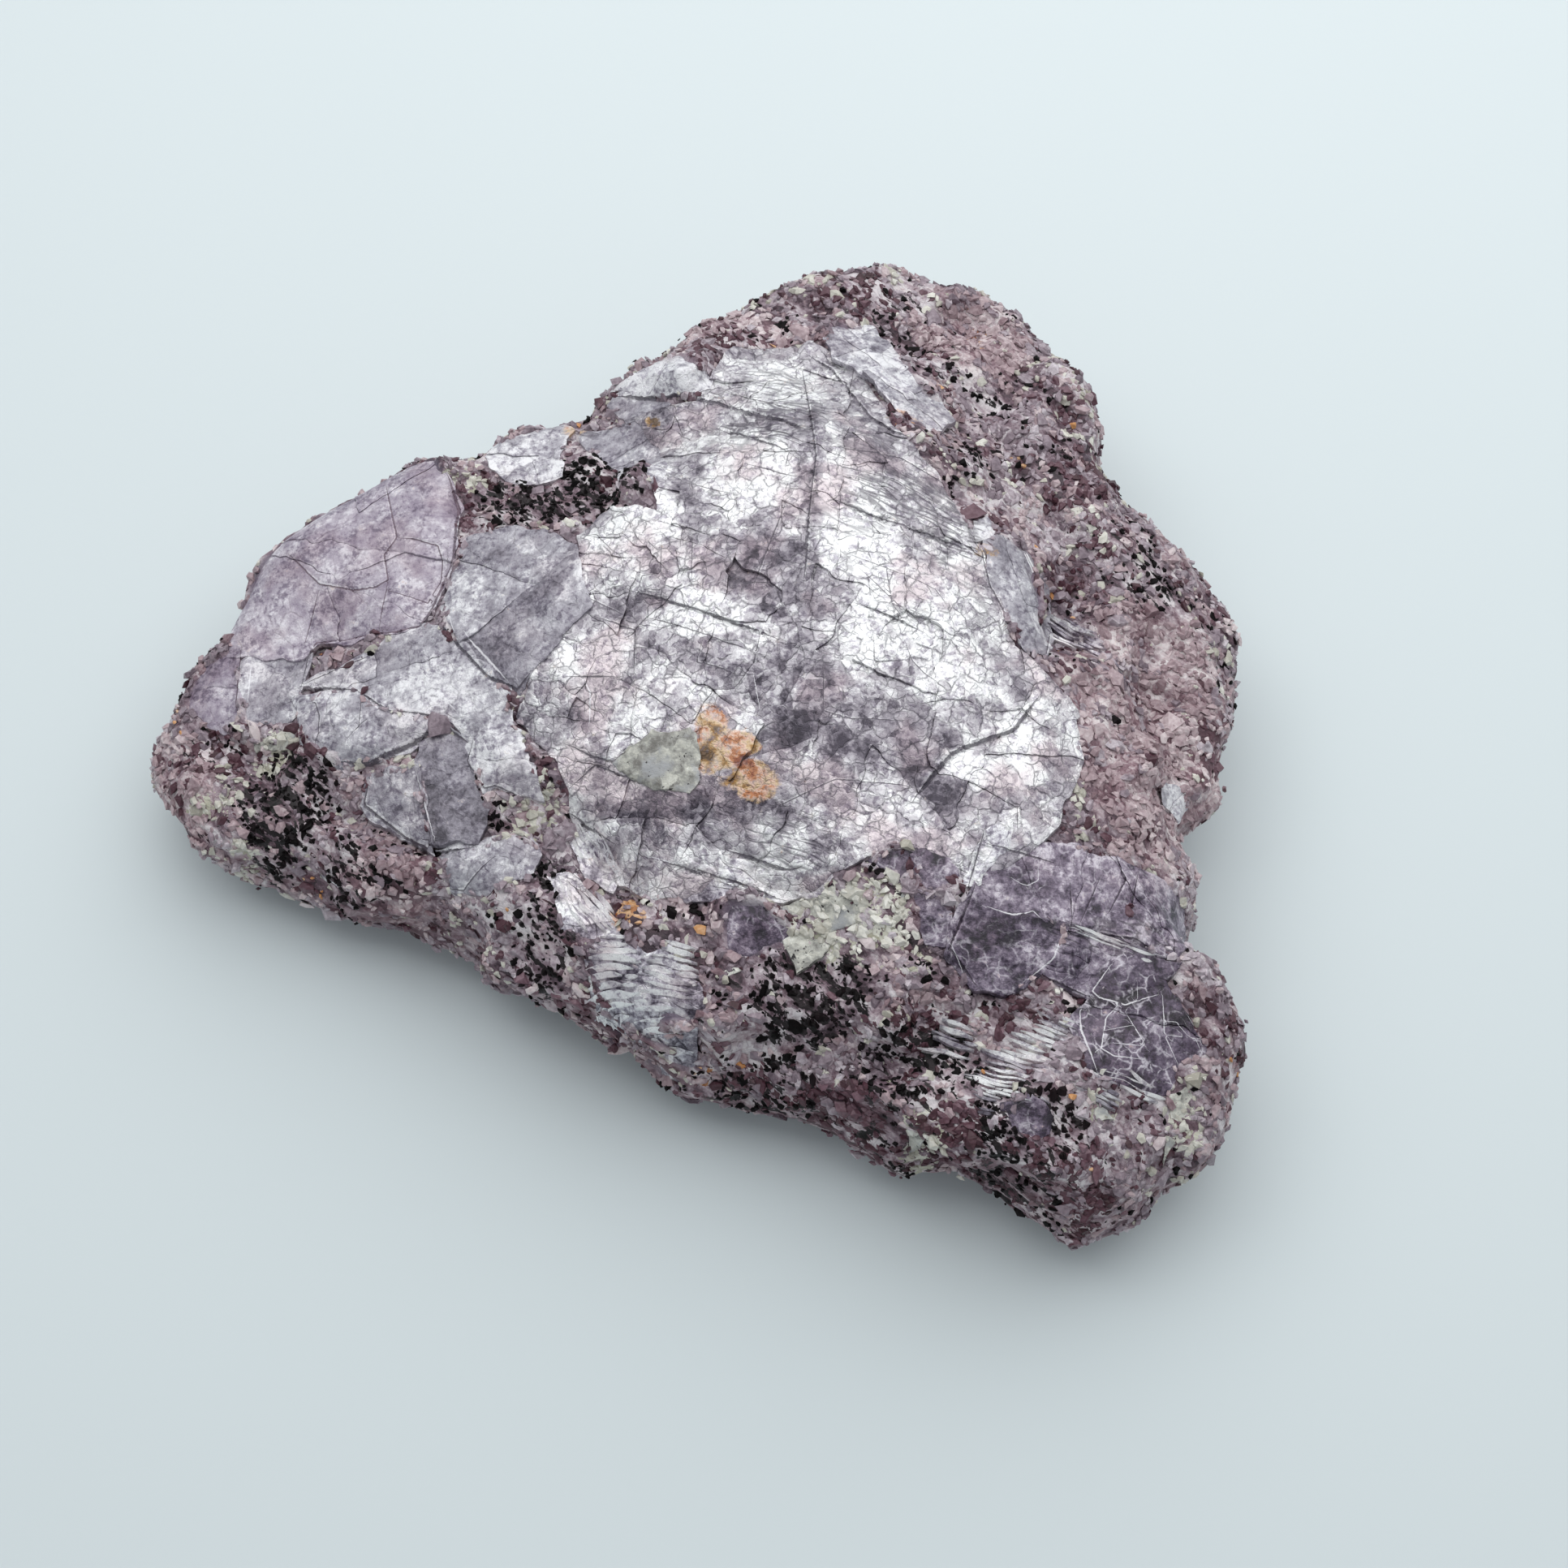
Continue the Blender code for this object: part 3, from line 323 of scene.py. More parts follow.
def distance_to_line(points: Array, line: Outline) -> tuple[Array, Array]:
    """Measure how far points lie from a polyline.

    Args:
        points: plan positions, one x, y row each.
        line: the corners of the polyline.

    Returns:
        The distance of each point, and its side, 1 on the line's left and -1 on its right.
    """
    nearest = np.full(len(points), np.inf)
    side = np.zeros(len(points))
    for start, end in zip(line[:-1], line[1:]):
        origin, along = np.array(start), np.subtract(end, start)
        offset = points - origin
        share = np.clip(offset @ along / (along @ along), 0.0, 1.0)
        gap = np.linalg.norm(offset - share[:, None] * along, axis=1)
        closer = gap < nearest
        turn = along[0] * offset[:, 1] - along[1] * offset[:, 0]
        nearest = np.where(closer, gap, nearest)
        side = np.where(closer, np.sign(turn), side)
    return nearest, side


def depth_inside(points: Array, corners: Outline) -> Array:
    """Measure how far points lie inside a polygon.

    Args:
        points: plan positions, one x, y row each.
        corners: the corners of the polygon.

    Returns:
        The distance from each point to the outline, negative outside it.
    """
    nearest, _ = distance_to_line(points, tuple(corners) + (corners[0],))
    inside = np.zeros(len(points), dtype=bool)
    x, y = points[:, 0], points[:, 1]
    for (x0, y0), (x1, y1) in zip(corners, corners[1:] + corners[:1]):
        if y0 == y1:
            continue
        crosses = (y0 > y) != (y1 > y)
        inside ^= crosses & (x < x0 + (y - y0) * (x1 - x0) / (y1 - y0))
    return np.where(inside, nearest, -nearest)


def grown(corners: Outline, amount: float) -> Outline:
    """Return a polygon with its corners moved outwards, so that neighbours overlap."""
    spots = np.array(corners)
    after = np.roll(spots, -1, axis=0) - spots
    after /= np.linalg.norm(after, axis=1)[:, None]
    outward = np.column_stack([after[:, 1], -after[:, 0]])
    outward += np.roll(outward, 1, axis=0)
    outward /= np.maximum(np.linalg.norm(outward, axis=1), 0.5)[:, None]
    x, y = spots.T
    turning = np.sign(np.sum(x * np.roll(y, -1) - y * np.roll(x, -1)))
    return tuple(map(tuple, spots + amount * turning * outward))


def line_field(plan: Array, lines: tuple[Line, ...]) -> tuple[Array, ...]:
    """Measure plan positions against a set of lines.

    Args:
        plan: plan positions, one x, y row each.
        lines: the lines.

    Returns:
        The distance from the nearest line in half widths, positive on its left; whether the line
        is near enough for that to be read, from 0 to 1; and how far the lines raise the surface.
    """
    across = np.zeros(len(plan))
    nearest = np.full(len(plan), np.inf)
    rise = np.zeros(len(plan))
    for line in lines:
        gap, side = distance_to_line(plan, line.points)
        ends = [np.linalg.norm(plan - np.array(end), axis=1)
                for end in (line.points[0], line.points[-1])]
        taper = smooth_step(np.minimum(*ends) / LINE_TAPER)
        closer = gap < nearest
        nearest = np.where(closer, gap, nearest)
        half = LINE_HALF * line.width * (LINE_TIP + (1.0 - LINE_TIP) * taper)
        across = np.where(closer, side * gap / half, across)
        beside = line.step * np.exp(-gap / STEP_FADE) * np.where(side > 0, 0.5, -0.5)
        rise += taper * (beside - LINE_HALF * line.width * np.exp(-(gap / line.width) ** 2))
    near = 1.0 - smooth_step((nearest - LINE_REACH) / (0.5 * LINE_REACH))
    return across, near, rise


def wobble(points: Array, scale: float, seed: float) -> Array:
    """Return smooth noise from -1 to 1 for each point of a 2D or 3D array."""
    padded = np.zeros((len(points), 3))
    padded[:, :points.shape[1]] = points / scale
    padded += seed
    return np.array([noise.noise(point) for point in padded])


def frayed(points: Array, amount: float, scale: float) -> Array:
    """Return plan positions shifted by noise, so that borders read from them are ragged."""
    plan = points[:, :2]
    shift = np.column_stack([wobble(points, scale, 3.1), wobble(points, scale, 57.7)])
    return plan + amount * shift


def patch_share(plan: Array, kind: Enum) -> Array:
    """Return how strongly the patches of one kind cover each plan position, from 0 to 1."""
    share = np.zeros(len(plan))
    for x, y, reach_x, reach_y, strength in PATCHES[kind]:
        gap = np.hypot((plan[:, 0] - x) / reach_x, (plan[:, 1] - y) / reach_y)
        share = np.maximum(share, strength * smooth_step(2.5 * (1.25 - gap)))
    return share


def read(items, name: str, width: int = 1, kind: type = float) -> Array:
    """Read one property of a mesh's vertices, faces, corners or attribute values.

    Args:
        items: what has the property.
        name: the property's name.
        width: how many numbers each item has.
        kind: the type of the numbers.

    Returns:
        A row for each item, or a number for each where the width is 1.
    """
    flat = np.zeros(len(items) * width, kind)
    items.foreach_get(name, flat)
    return flat.reshape(-1, width) if width > 1 else flat


def write_attribute(mesh: Mesh, name: str, values: Array) -> None:
    """Store one number for each vertex of a mesh."""
    layer = mesh.attributes.new(name, "FLOAT", "POINT")
    layer.data.foreach_set("value", np.asarray(values, np.float32))


def made_mesh(shape: Shape, name: str, creased: bool = False) -> Mesh:
    """Turn a shape into a smooth mesh, with its sharper edges creased or not, and free it."""
    mesh = bpy.data.meshes.new(name)
    shape.to_mesh(mesh)
    shape.free()
    mesh.shade_smooth()
    if creased:
        mesh.set_sharp_from_angle(angle=CREASE)
    return mesh


def linked(name: str, data: bpy.types.ID) -> Object:
    """Make an object at the origin and link it to the scene."""
    made = bpy.data.objects.new(name, data)
    bpy.context.scene.collection.objects.link(made)
    return made


def add_piece(name: str, mesh: Mesh, material: Material) -> Object:
    """Link a finished mesh to the scene as a piece that rides on the stone's body.

    Args:
        name: the piece's name.
        mesh: its mesh, in metres and in place.
        material: its only material.

    Returns:
        The piece's object.
    """
    mesh.name = name
    mesh.materials.append(material)
    piece = linked(name, mesh)
    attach(piece, BODY)
    return piece


def merged_copy(node: Object) -> Shape:
    """Return a welded copy of a CAD node's mesh."""
    copy = bmesh.new()
    copy.from_mesh(node.data)
    bmesh.ops.remove_doubles(copy, verts=copy.verts[:], dist=MERGE)
    bmesh.ops.recalc_face_normals(copy, faces=copy.faces[:])
    return copy


def soften(shape: Shape, rounds: int) -> None:
    """Smooth a welded shape, leaving its resting face where it is."""
    raised = [vertex for vertex in shape.verts if vertex.co.z > FOOT * MM]
    for _ in range(rounds):
        bmesh.ops.smooth_vert(shape, verts=raised, factor=0.5, use_axis_x=True, use_axis_y=True,
                              use_axis_z=True)


class Ground:
    """The top of the stone, smoothed, as something that sheets are laid on."""

    sky = 0.1                    # a height above all of the stone, in metres
    heart = 0.01                 # a height inside it

    def __init__(self, node: Object) -> None:
        """Build the search tree from the CAD node."""
        surface = merged_copy(node)
        soften(surface, 4)
        self.tree = BVHTree.FromBMesh(surface)
        surface.free()

    def settle(self, plan: Array) -> Array:
        """Drop plan positions on the stone; those past its rim go to its nearest point."""
        found = []
        for x, y in plan * MM:
            hit = self.tree.ray_cast(Vector((x, y, self.sky)), Vector((0.0, 0.0, -1.0)))[0]
            if hit is None:
                hit = self.tree.find_nearest(Vector((x, y, self.heart)))[0]
            found.append(hit)
        return np.array(found) / MM


# ---- Materials ----------------------------------------------------------------------------------

def linear(colour: str) -> tuple[float, float, float, float]:
    """Turn an sRGB hex colour into linear RGBA."""
    channels = (int(colour[i:i + 2], 16) / 255.0 for i in (1, 3, 5))
    curve = (c / 12.92 if c <= 0.04045 else ((c + 0.055) / 1.055) ** 2.4 for c in channels)
    return (*curve, 1.0)


def fill(node: bpy.types.Node, settings: dict) -> None:
    """Set a node's options and inputs.

    Args:
        node: the node.
        settings: options and inputs by name or index. A socket is linked and any other value is
            set; "stops" makes a colour ramp.
    """
    for key, value in settings.items():
        if key == "stops":
            for _ in range(len(value) - len(node.color_ramp.elements)):
                node.color_ramp.elements.new(0.5)
            for stop, (position, colour) in zip(node.color_ramp.elements, value):
                stop.position, stop.color = position, linear(colour)
        elif isinstance(value, Socket):
            node.id_data.links.new(value, node.inputs[key])
        elif isinstance(key, str) and hasattr(node, key):
            setattr(node, key, value)
        else:
            node.inputs[key].default_value = value


def add_node(tree: bpy.types.NodeTree, kind: str, settings: dict) -> bpy.types.Node:
    """Add a shader node of a kind, without its ShaderNode prefix, and fill it in."""
    node = tree.nodes.new("ShaderNode" + kind)
    fill(node, settings)
    return node


MIX_A, MIX_B, MIX_RESULT = 6, 7, 2      # a colour Mix node's sockets


class Palette:
    """A material under construction: its tree, its shader and its coordinates."""

    def __init__(self, name: str) -> None:
        """Start an empty Principled material."""
        self.material = bpy.data.materials.new(name)
        self.material.use_nodes = True
        self.tree = self.material.node_tree
        self.shader = self.tree.nodes["Principled BSDF"]
        self.place = self.add("TexCoord", {}).outputs["Object"]

    def add(self, kind: str, settings: dict) -> bpy.types.Node:
        """Add a node to this material's tree."""
        return add_node(self.tree, kind, settings)

    def noise(self, size_mm: float, detail: float = 3.0, place: Socket | None = None,
              rough: float = 0.55) -> Socket:
        """Return the value of a noise pattern whose features are size_mm across."""
        return self.add("TexNoise", {"Scale": 1.0 / (size_mm * MM), "Detail": detail,
                                     "Roughness": rough, "Vector": place or self.place}).outputs[0]

    def cells(self, size_mm: float, feature: str, place: Socket | None) -> bpy.types.Node:
        """Return the node of a pattern whose cells are size_mm across."""
        return self.add("TexVoronoi", {"Scale": 1.0 / (size_mm * MM), "feature": feature,
                                       "Vector": place or self.place})

    def cell_draws(self, size_mm: float, place: Socket | None = None) -> list[Socket]:
        """Return three random numbers that are the same all over each cell of a pattern."""
        colour = self.cells(size_mm, "F1", place).outputs["Color"]
        return self.add("SeparateColor", {0: colour}).outputs

    def cell_edges(self, size_mm: float, width_mm: float, place: Socket | None = None) -> Socket:
        """Return 1 on the edges between the cells of a pattern and 0 inside them."""
        edge = self.cells(size_mm, "DISTANCE_TO_EDGE", place).outputs["Distance"]
        return self.math("SUBTRACT", 1.0, self.window(edge, 0.0, width_mm / size_mm))

    def warped(self, size_mm: float, reach_mm: float, detail: float = 3.0) -> Socket:
        """Return coordinates pushed about by noise, which makes straight edges crooked."""
        shift = self.add("TexNoise", {"Scale": 1.0 / (size_mm * MM), "Detail": detail,
                                      "Vector": self.place}).outputs["Color"]
        return self.add("VectorMath", {"operation": "MULTIPLY_ADD", 0: shift,
                                       1: (reach_mm * MM,) * 3, 2: self.place}).outputs[0]

    def stretched(self, turn: float, length: float, place: Socket) -> Socket:
        """Return coordinates in which patterns are length times longer along one direction."""
        return self.add("Mapping", {"vector_type": "TEXTURE", "Scale": (length, 1.0, 1.5),
                                    "Rotation": (0.0, 0.0, math.radians(turn)),
                                    "Vector": place}).outputs[0]

    def attribute(self, name: str) -> Socket:
        """Return a mesh attribute's value."""
        return self.add("Attribute", {"attribute_name": name}).outputs["Fac"]

    def math(self, operation: str, first: Value, second: Value = 0.0,
             clamp: bool = False) -> Socket:
        """Return the result of a Math node."""
        return self.add("Math", {"operation": operation, "use_clamp": clamp, 0: first,
                                 1: second}).outputs[0]

    def times(self, first: Value, *others: Value) -> Socket:
        """Return a product."""
        for other in others:
            first = self.math("MULTIPLY", first, other)
        return first

    def total(self, *parts: Value | tuple[Socket, Value], clamp: bool = False) -> Socket:
        """Return a sum; each part is a term, or a term and what it is multiplied by."""
        result = None
        for part in parts:
            term = self.times(*part) if isinstance(part, tuple) else part
            result = term if result is None else self.math("ADD", result, term)
        return self.math("ADD", result, 0.0, True) if clamp else result

    def swing(self, value: Socket, reach: float) -> Socket:
        """Turn a noise value, which stays near 0.5, into one that swings about 0."""
        return self.times(self.math("SUBTRACT", value, 0.5), reach)

    def ramp(self, value: Socket, *stops: tuple[float, str]) -> Socket:
        """Return a colour ramp's colour at a value; a stop is a position and a colour."""
        return self.add("ValToRGB", {"stops": stops, "Fac": value}).outputs["Color"]

    def mix(self, share: Value, under: Socket | str, over: Socket | str,
            blend: str = "MIX") -> Socket:
        """Lay one colour over another by a share; either may be a hex colour."""
        under, over = (linear(c) if isinstance(c, str) else c for c in (under, over))
        return self.add("Mix", {"data_type": "RGBA", "blend_type": blend, 0: share, MIX_A: under,
                                MIX_B: over}).outputs[MIX_RESULT]

    def level(self, value: Socket, low: float, high: float) -> Socket:
        """Map a value from 0..1 to low..high, clamped."""
        return self.add("MapRange", {"To Min": low, "To Max": high, "clamp": True,
                                     "Value": value}).outputs["Result"]

    def window(self, value: Socket, low: float, high: float) -> Socket:
        """Map a value from low..high to 0..1, clamped and eased."""
        return self.add("MapRange", {"From Min": low, "From Max": high, "Value": value,
                                     "interpolation_type": "SMOOTHSTEP"}).outputs["Result"]

    def speckle(self, size_mm: float, rare: float, mineral: Mineral, spread: float,
                place: Socket | None = None) -> Socket:
        """Return 1 on ragged specks of a mineral.

        Args:
            size_mm: how large the specks are.
            rare: the noise level above which there is a speck; 0.5 covers half the surface.
            mineral: whose attribute makes them more common.
            spread: how much it lowers that level.
            place: the coordinates, if not the object's own.
        """
        value = self.noise(size_mm, 3.0, place, 0.6)
        value = self.total(value, (self.attribute(mineral.value), spread))
        return self.window(value, rare, rare + 0.03)

    def bump(self, height: Socket, depth_mm: float, strength: float,
             below: Socket | None = None) -> Socket:
        """Return the normal of a relief depth_mm deep, over another if one is given."""
        under = {"Normal": below} if below else {}
        return self.add("Bump", {"Distance": depth_mm * MM, "Strength": strength,
                                 "Height": height, **under}).outputs["Normal"]

    def finish(self, settings: dict) -> Material:
        """Fill in the shader and return the material."""
        fill(self.shader, settings)
        return self.material


@dataclass(frozen=True)
class CleavedMica:
    """Perfect basal cleavage: pearly and slightly crumpled, cracked, creased and striated, with
    painted highlights and painted shade.
    """

    name: str
    deep: str
    middle: str
    pale: str
    bright: str
    crack: str
    mottle: float = 2.2          # how strongly it is mottled
    facet: float = 0.4           # how much its small facets differ in tone
    vein: float = 0.5            # how plainly the net of fine cracks shows
    vein_spacing: float = 1.5
    crease: float = 0.3          # how many bundles of parallel creases it has of its own
    turn: float = -20.0          # direction of the creases
    metallic: float = 0.35
    roughness: tuple[float, float] = (0.25, 0.5)
    blush: float = 0.35          # how much of it is tinted pink
    net: float = 0.0             # how plainly a net of bright inner cracks shows
    cloudy: float = 1.0          # how strongly its tone drifts from place to place

    def make(self) -> Material:
        """Build the material."""
        p = Palette(self.name)
        cloud = p.noise(1.3, 6.0, rough=0.72)
        fine = p.noise(0.42, rough=0.65)
        crooked = p.warped(0.9, 0.8)
        veins = self.veins(p, crooked, cloud)
        creases, striation = self.creases(p)
        crack, painted_lip_highlight = self.crack_line(p, "crack", fine)
        ledge, _ = self.crack_line(p, "ledge", fine)

        blocks, chips = (p.cell_draws(self.vein_spacing * share, crooked) for share in (1.0, 0.45))
        # The tone takes painted highlights from the silver patches and along the raised side of
        # each crack, and painted shade from the shaded patches.
        tone = p.total(p.attribute("tone"), p.swing(p.noise(4.5), self.cloudy),
                       p.swing(cloud, self.mottle), p.swing(fine, self.mottle * 0.4),
                       p.swing(p.noise(2.1, 4.0, rough=0.6), self.mottle * 0.5),
                       p.swing(blocks[0], self.facet), p.swing(chips[0], self.facet),
                       (p.attribute("silver"), 0.68), (painted_lip_highlight, 0.22), (p.attribute("dusk"), -0.40))
        tone = p.total((tone, 0.8), 0.2, clamp=True)
        colour = p.ramp(tone, (0.2, self.deep), (0.46, self.middle), (0.73, self.pale),
                        (0.96, self.bright))
        shadow = p.ramp(tone, (0.0, "#8E8796"), (0.2, "#FFFFFF"))
        colour = p.mix(1.0, colour, shadow, "MULTIPLY")
        blush = p.times(p.window(p.noise(5.0), 0.47, 0.64), self.blush)
        colour = p.mix(blush, colour, "#C9AEB6", "MULTIPLY")
        pits = p.total(fine, p.swing(chips[1], 0.25))
        colour = p.mix(1.0, colour, p.ramp(pits, (0.3, "#C4BFC9"), (0.47, "#FFFFFF")), "MULTIPLY")
        lines = p.math("MAXIMUM", veins, creases)
        colour = p.mix(lines, colour, self.crack)
        colour = p.mix(self.inner_net(p, cloud), colour, "#DCD6DF")
        colour = p.mix(p.times(crack, 0.7), colour, self.crack)
        # Painted highlight: near-white lines on broken edges that face the light.
        colour = p.mix(p.times(ledge, 0.75), colour, "#F0EEF2")
        colour = self.stained(p, colour, fine, cloud)

        rough = p.level(p.total(cloud, p.swing(fine, 0.6)), *self.roughness)
        relief = p.bump(striation, 0.05, 0.5)
        relief = p.bump(cloud, 0.30, 0.75, relief)
        relief = p.bump(p.times(p.math("MAXIMUM", lines, crack), -1.0), 0.10, 0.9, relief)
        return p.finish({"Base Color": colour, "Roughness": rough, "Normal": relief,
                         "Metallic": self.metallic, "Coat Weight": 0.25, "Coat Roughness": 0.25})

    def veins(self, p: Palette, crooked: Socket, cloud: Socket) -> Socket:
        """Return how plainly a broken net of fine cracks shows."""
        wide = p.cell_edges(self.vein_spacing, 0.10, crooked)
        narrow = p.cell_edges(self.vein_spacing * 0.45, 0.07, crooked)
        here = p.window(p.noise(1.6), 0.38, 0.54)
        there = p.window(cloud, 0.42, 0.58)
        both = p.math("MAXIMUM", p.times(wide, here), p.times(narrow, there, 0.7))
        return p.times(both, self.vein)

    def inner_net(self, p: Palette, cloud: Socket) -> Socket:
        """Return how plainly a broken net of bright cracks inside the mica shows."""
        edges = p.cell_edges(1.15, 0.12, p.warped(1.2, 1.3))
        here = p.times(p.window(p.noise(1.9), 0.42, 0.60), p.window(cloud, 0.36, 0.56))
        return p.times(edges, here, self.net)

    def creases(self, p: Palette) -> tuple[Socket, Socket]:
        """Return the bundles of parallel creases, and the relief of the striations."""
        along = p.stretched(self.turn, 9.0, p.warped(5.0, 1.8, 1.0))
        line = p.cell_edges(0.7, 0.12, along)
        own = p.window(p.noise(3.2, 2.0), 0.66 - 0.2 * self.crease, 0.74 - 0.2 * self.crease)
        share = p.math("MAXIMUM", p.times(own, 0.5), p.attribute("bundle"))
        broken = p.window(p.noise(1.4), 0.34, 0.48)
        return p.times(line, share, broken, 0.85), p.noise(0.3, 2.0, along)

    def crack_line(self, p: Palette, name: str, fine: Socket) -> tuple[Socket, Socket]:
        """Return 1 on the drawn lines of one sort, and 1 on the painted highlight along their
        raised side.

        The mesh stores each corner's distance from the nearest line in half widths, positive on
        its raised side, and whether it is near enough for that to be read.
        """
        across = p.total(p.attribute(name), p.swing(fine, 2.4))
        away = p.math("ABSOLUTE", across)
        near = p.attribute("near_" + name)
        line = p.times(p.math("SUBTRACT", 1.0, p.window(away, 0.55, 1.25)), near)
        # Painted highlight on the raised side of the line.
        painted_lip_highlight = p.math("SUBTRACT", p.window(across, 1.0, 1.5), p.window(across, 2.5, 3.6))
        return line, p.times(painted_lip_highlight, near)

    def stained(self, p: Palette, colour: Socket, fine: Socket, cloud: Socket) -> Socket:
        """Lay rust stains over a colour: peach and pink, with orange specks."""
        spread = p.total(p.attribute("rust"), p.swing(fine, 1.4), p.swing(cloud, 1.8))
        rust = p.window(spread, 0.30, 0.90)
        shade = p.ramp(p.total(p.noise(2.4, 4.0, rough=0.6), p.swing(fine, 0.2)),
                       (0.36, "#5E4218"), (0.43, "#A67A38"), (0.48, "#D2B68E"),
                       (0.53, "#DAB8A6"), (0.58, "#C08050"), (0.65, "#8A451A"))
        return p.mix(p.times(rust, 0.9), colour, shade)


@dataclass(frozen=True)
class MassiveAlbite:
    """Albite grown together into one pale greenish, waxy mass, with specks of dark mica."""

    name: str = "waxy_albite"

    def make(self) -> Material:
        """Build the material."""
        p = Palette(self.name)
        crooked = p.warped(0.9, 0.8)
        facets = p.cell_draws(1.2, crooked)
        value = p.total(p.noise(0.8, 5.0, rough=0.7), p.swing(facets[0], 0.22),
                        p.swing(p.attribute("tone"), 0.25))
        colour = p.ramp(value, (0.28, "#77746F"), (0.42, "#A3A29C"), (0.55, "#C6C5BB"),
                        (0.72, "#E8E7DE"))
        colour = p.mix(p.window(p.noise(2.2), 0.5, 0.66), colour, "#A5A6A8")
        colour = p.mix(p.speckle(0.45, 0.645, Mineral.BLACK, 0.1), colour, "#2A2526")
        relief = p.bump(p.noise(0.6, 4.0, rough=0.65), 0.22, 0.6)
        return p.finish({"Base Color": colour, "Normal": relief, "Roughness": 0.36,
                         "Subsurface Weight": 0.25,
                         "Subsurface Radius": (1.0, 0.9, 0.8), "Subsurface Scale": 0.6 * MM})


@dataclass(frozen=True)
class BrokenLepidolite:
    """Sugary lepidolite: fused grains and flakes, streaked along the grain of the rock."""

    name: str = "sugary_lepidolite_broken"
    grain: float = 0.8           # size of the single grains
    streak: float = 1.3          # width of the streaks
    turn: float = -42.0          # direction of the streaks

    def make(self) -> Material:
        """Build the material."""
        p = Palette(self.name)
        crooked = p.warped(0.5, 0.4)
        along = p.stretched(self.turn, 2.6, p.warped(2.0, 1.2))
        draws = p.cell_draws(self.grain, crooked)
        streaks = p.noise(self.streak, 4.0, along, 0.6)
        value = p.total(streaks, p.swing(draws[0], 0.16), p.swing(p.noise(0.4, 2.0), 0.35),
                        p.swing(p.noise(5.0, 2.0, along), 0.9))
        lilac = p.ramp(value, (0.26, "#40343B"), (0.38, "#6B5761"), (0.47, "#8F7D86"),
                       (0.56, "#B0A2A9"), (0.68, "#D8D1D4"))
        pink = p.ramp(value, (0.28, "#624850"), (0.40, "#876B73"), (0.48, "#A89197"),
                      (0.57, "#C3B2B5"), (0.70, "#DFD5D5"))
        pinkness = p.total(p.attribute("pink"), p.swing(p.noise(2.6), 3.0), clamp=True)
        colour = p.mix(pinkness, lilac, pink)
        colour = p.mix(p.times(p.attribute("wall"), 0.55), colour,
                       p.ramp(streaks, (0.35, "#6A464F"), (0.5, "#967A82"), (0.62, "#BBA8AD")))
        kinds = ((Mineral.PLUM, 0.75, 0.655, 0.17, ("#32181F", "#65454F"), along),
                 (Mineral.CREAM, 0.85, 0.690, 0.22, ("#B5B2A0", "#E6E4D8"), crooked),
                 (Mineral.RUST, 0.80, 0.800, 0.34, ("#9A5A2A", "#DDB48C"), crooked),
                 (Mineral.BLACK, 0.62, 0.665, 0.175, ("#0C0909", "#2A2225"), along))
        for mineral, size, rare, spread, shades, place in kinds:
            grains = p.ramp(draws[1], (0.2, shades[0]), (0.8, shades[1]))
            colour = p.mix(p.speckle(size, rare, mineral, spread, place), colour, grains)
        seams = p.times(p.cell_edges(self.grain, 0.06, crooked), 0.22)
        colour = p.mix(seams, colour, "#4A3D44")
        colour = p.mix(p.times(p.attribute("covered"), 0.85), colour, "#6F6475")
        relief = p.bump(draws[2], 0.08, 0.5)
        relief = p.bump(p.total(streaks, (p.noise(0.4), 0.5)), 0.45, 0.7, relief)
        return p.finish({"Base Color": colour, "Roughness": p.level(draws[2], 0.28, 0.62),
                         "Normal": relief, "Specular IOR Level": 0.3, "Subsurface Weight": 0.2,
                         "Subsurface Radius": (1.0, 0.8, 0.8), "Subsurface Scale": 0.5 * MM})


@dataclass(frozen=True)
class GrainFinish:
    """Grains of one mineral with broken, glassy faces; each grain has its own shade."""

    name: str
    dark: str
    middle: str
    light: str
    roughness: float = 0.35
    metallic: float = 0.0
    specular: float = 0.4

    def make(self) -> Material:
        """Build the material."""
        p = Palette(self.name)
        shade = p.total(p.attribute("tone"), p.swing(p.noise(0.35), 1.0), clamp=True)
        colour = p.ramp(shade, (0.0, self.dark), (0.5, self.middle), (1.0, self.light))
        return p.finish({"Base Color": colour, "Normal": p.bump(p.noise(0.25), 0.08, 0.6),
                         "Roughness": self.roughness, "Metallic": self.metallic,
                         "Specular IOR Level": self.specular})


@dataclass(frozen=True)
class PaintedBoard:
    """Matt painted board under the stone: pale, even and a little cool."""

    name: str = "matt_painted_board"
    colour: str = "#D8E1E3"

    def make(self) -> Material:
        """Build the material."""
        p = Palette(self.name)
        shade = p.mix(p.level(p.noise(60.0, 2.0), 0.0, 0.2), self.colour, "#D2DBDE")
        return p.finish({"Base Color": shade, "Roughness": 0.8,
                         "Normal": p.bump(p.noise(0.7, 2.0), 0.01, 0.4)})


# ---- The rock -----------------------------------------------------------------------------------

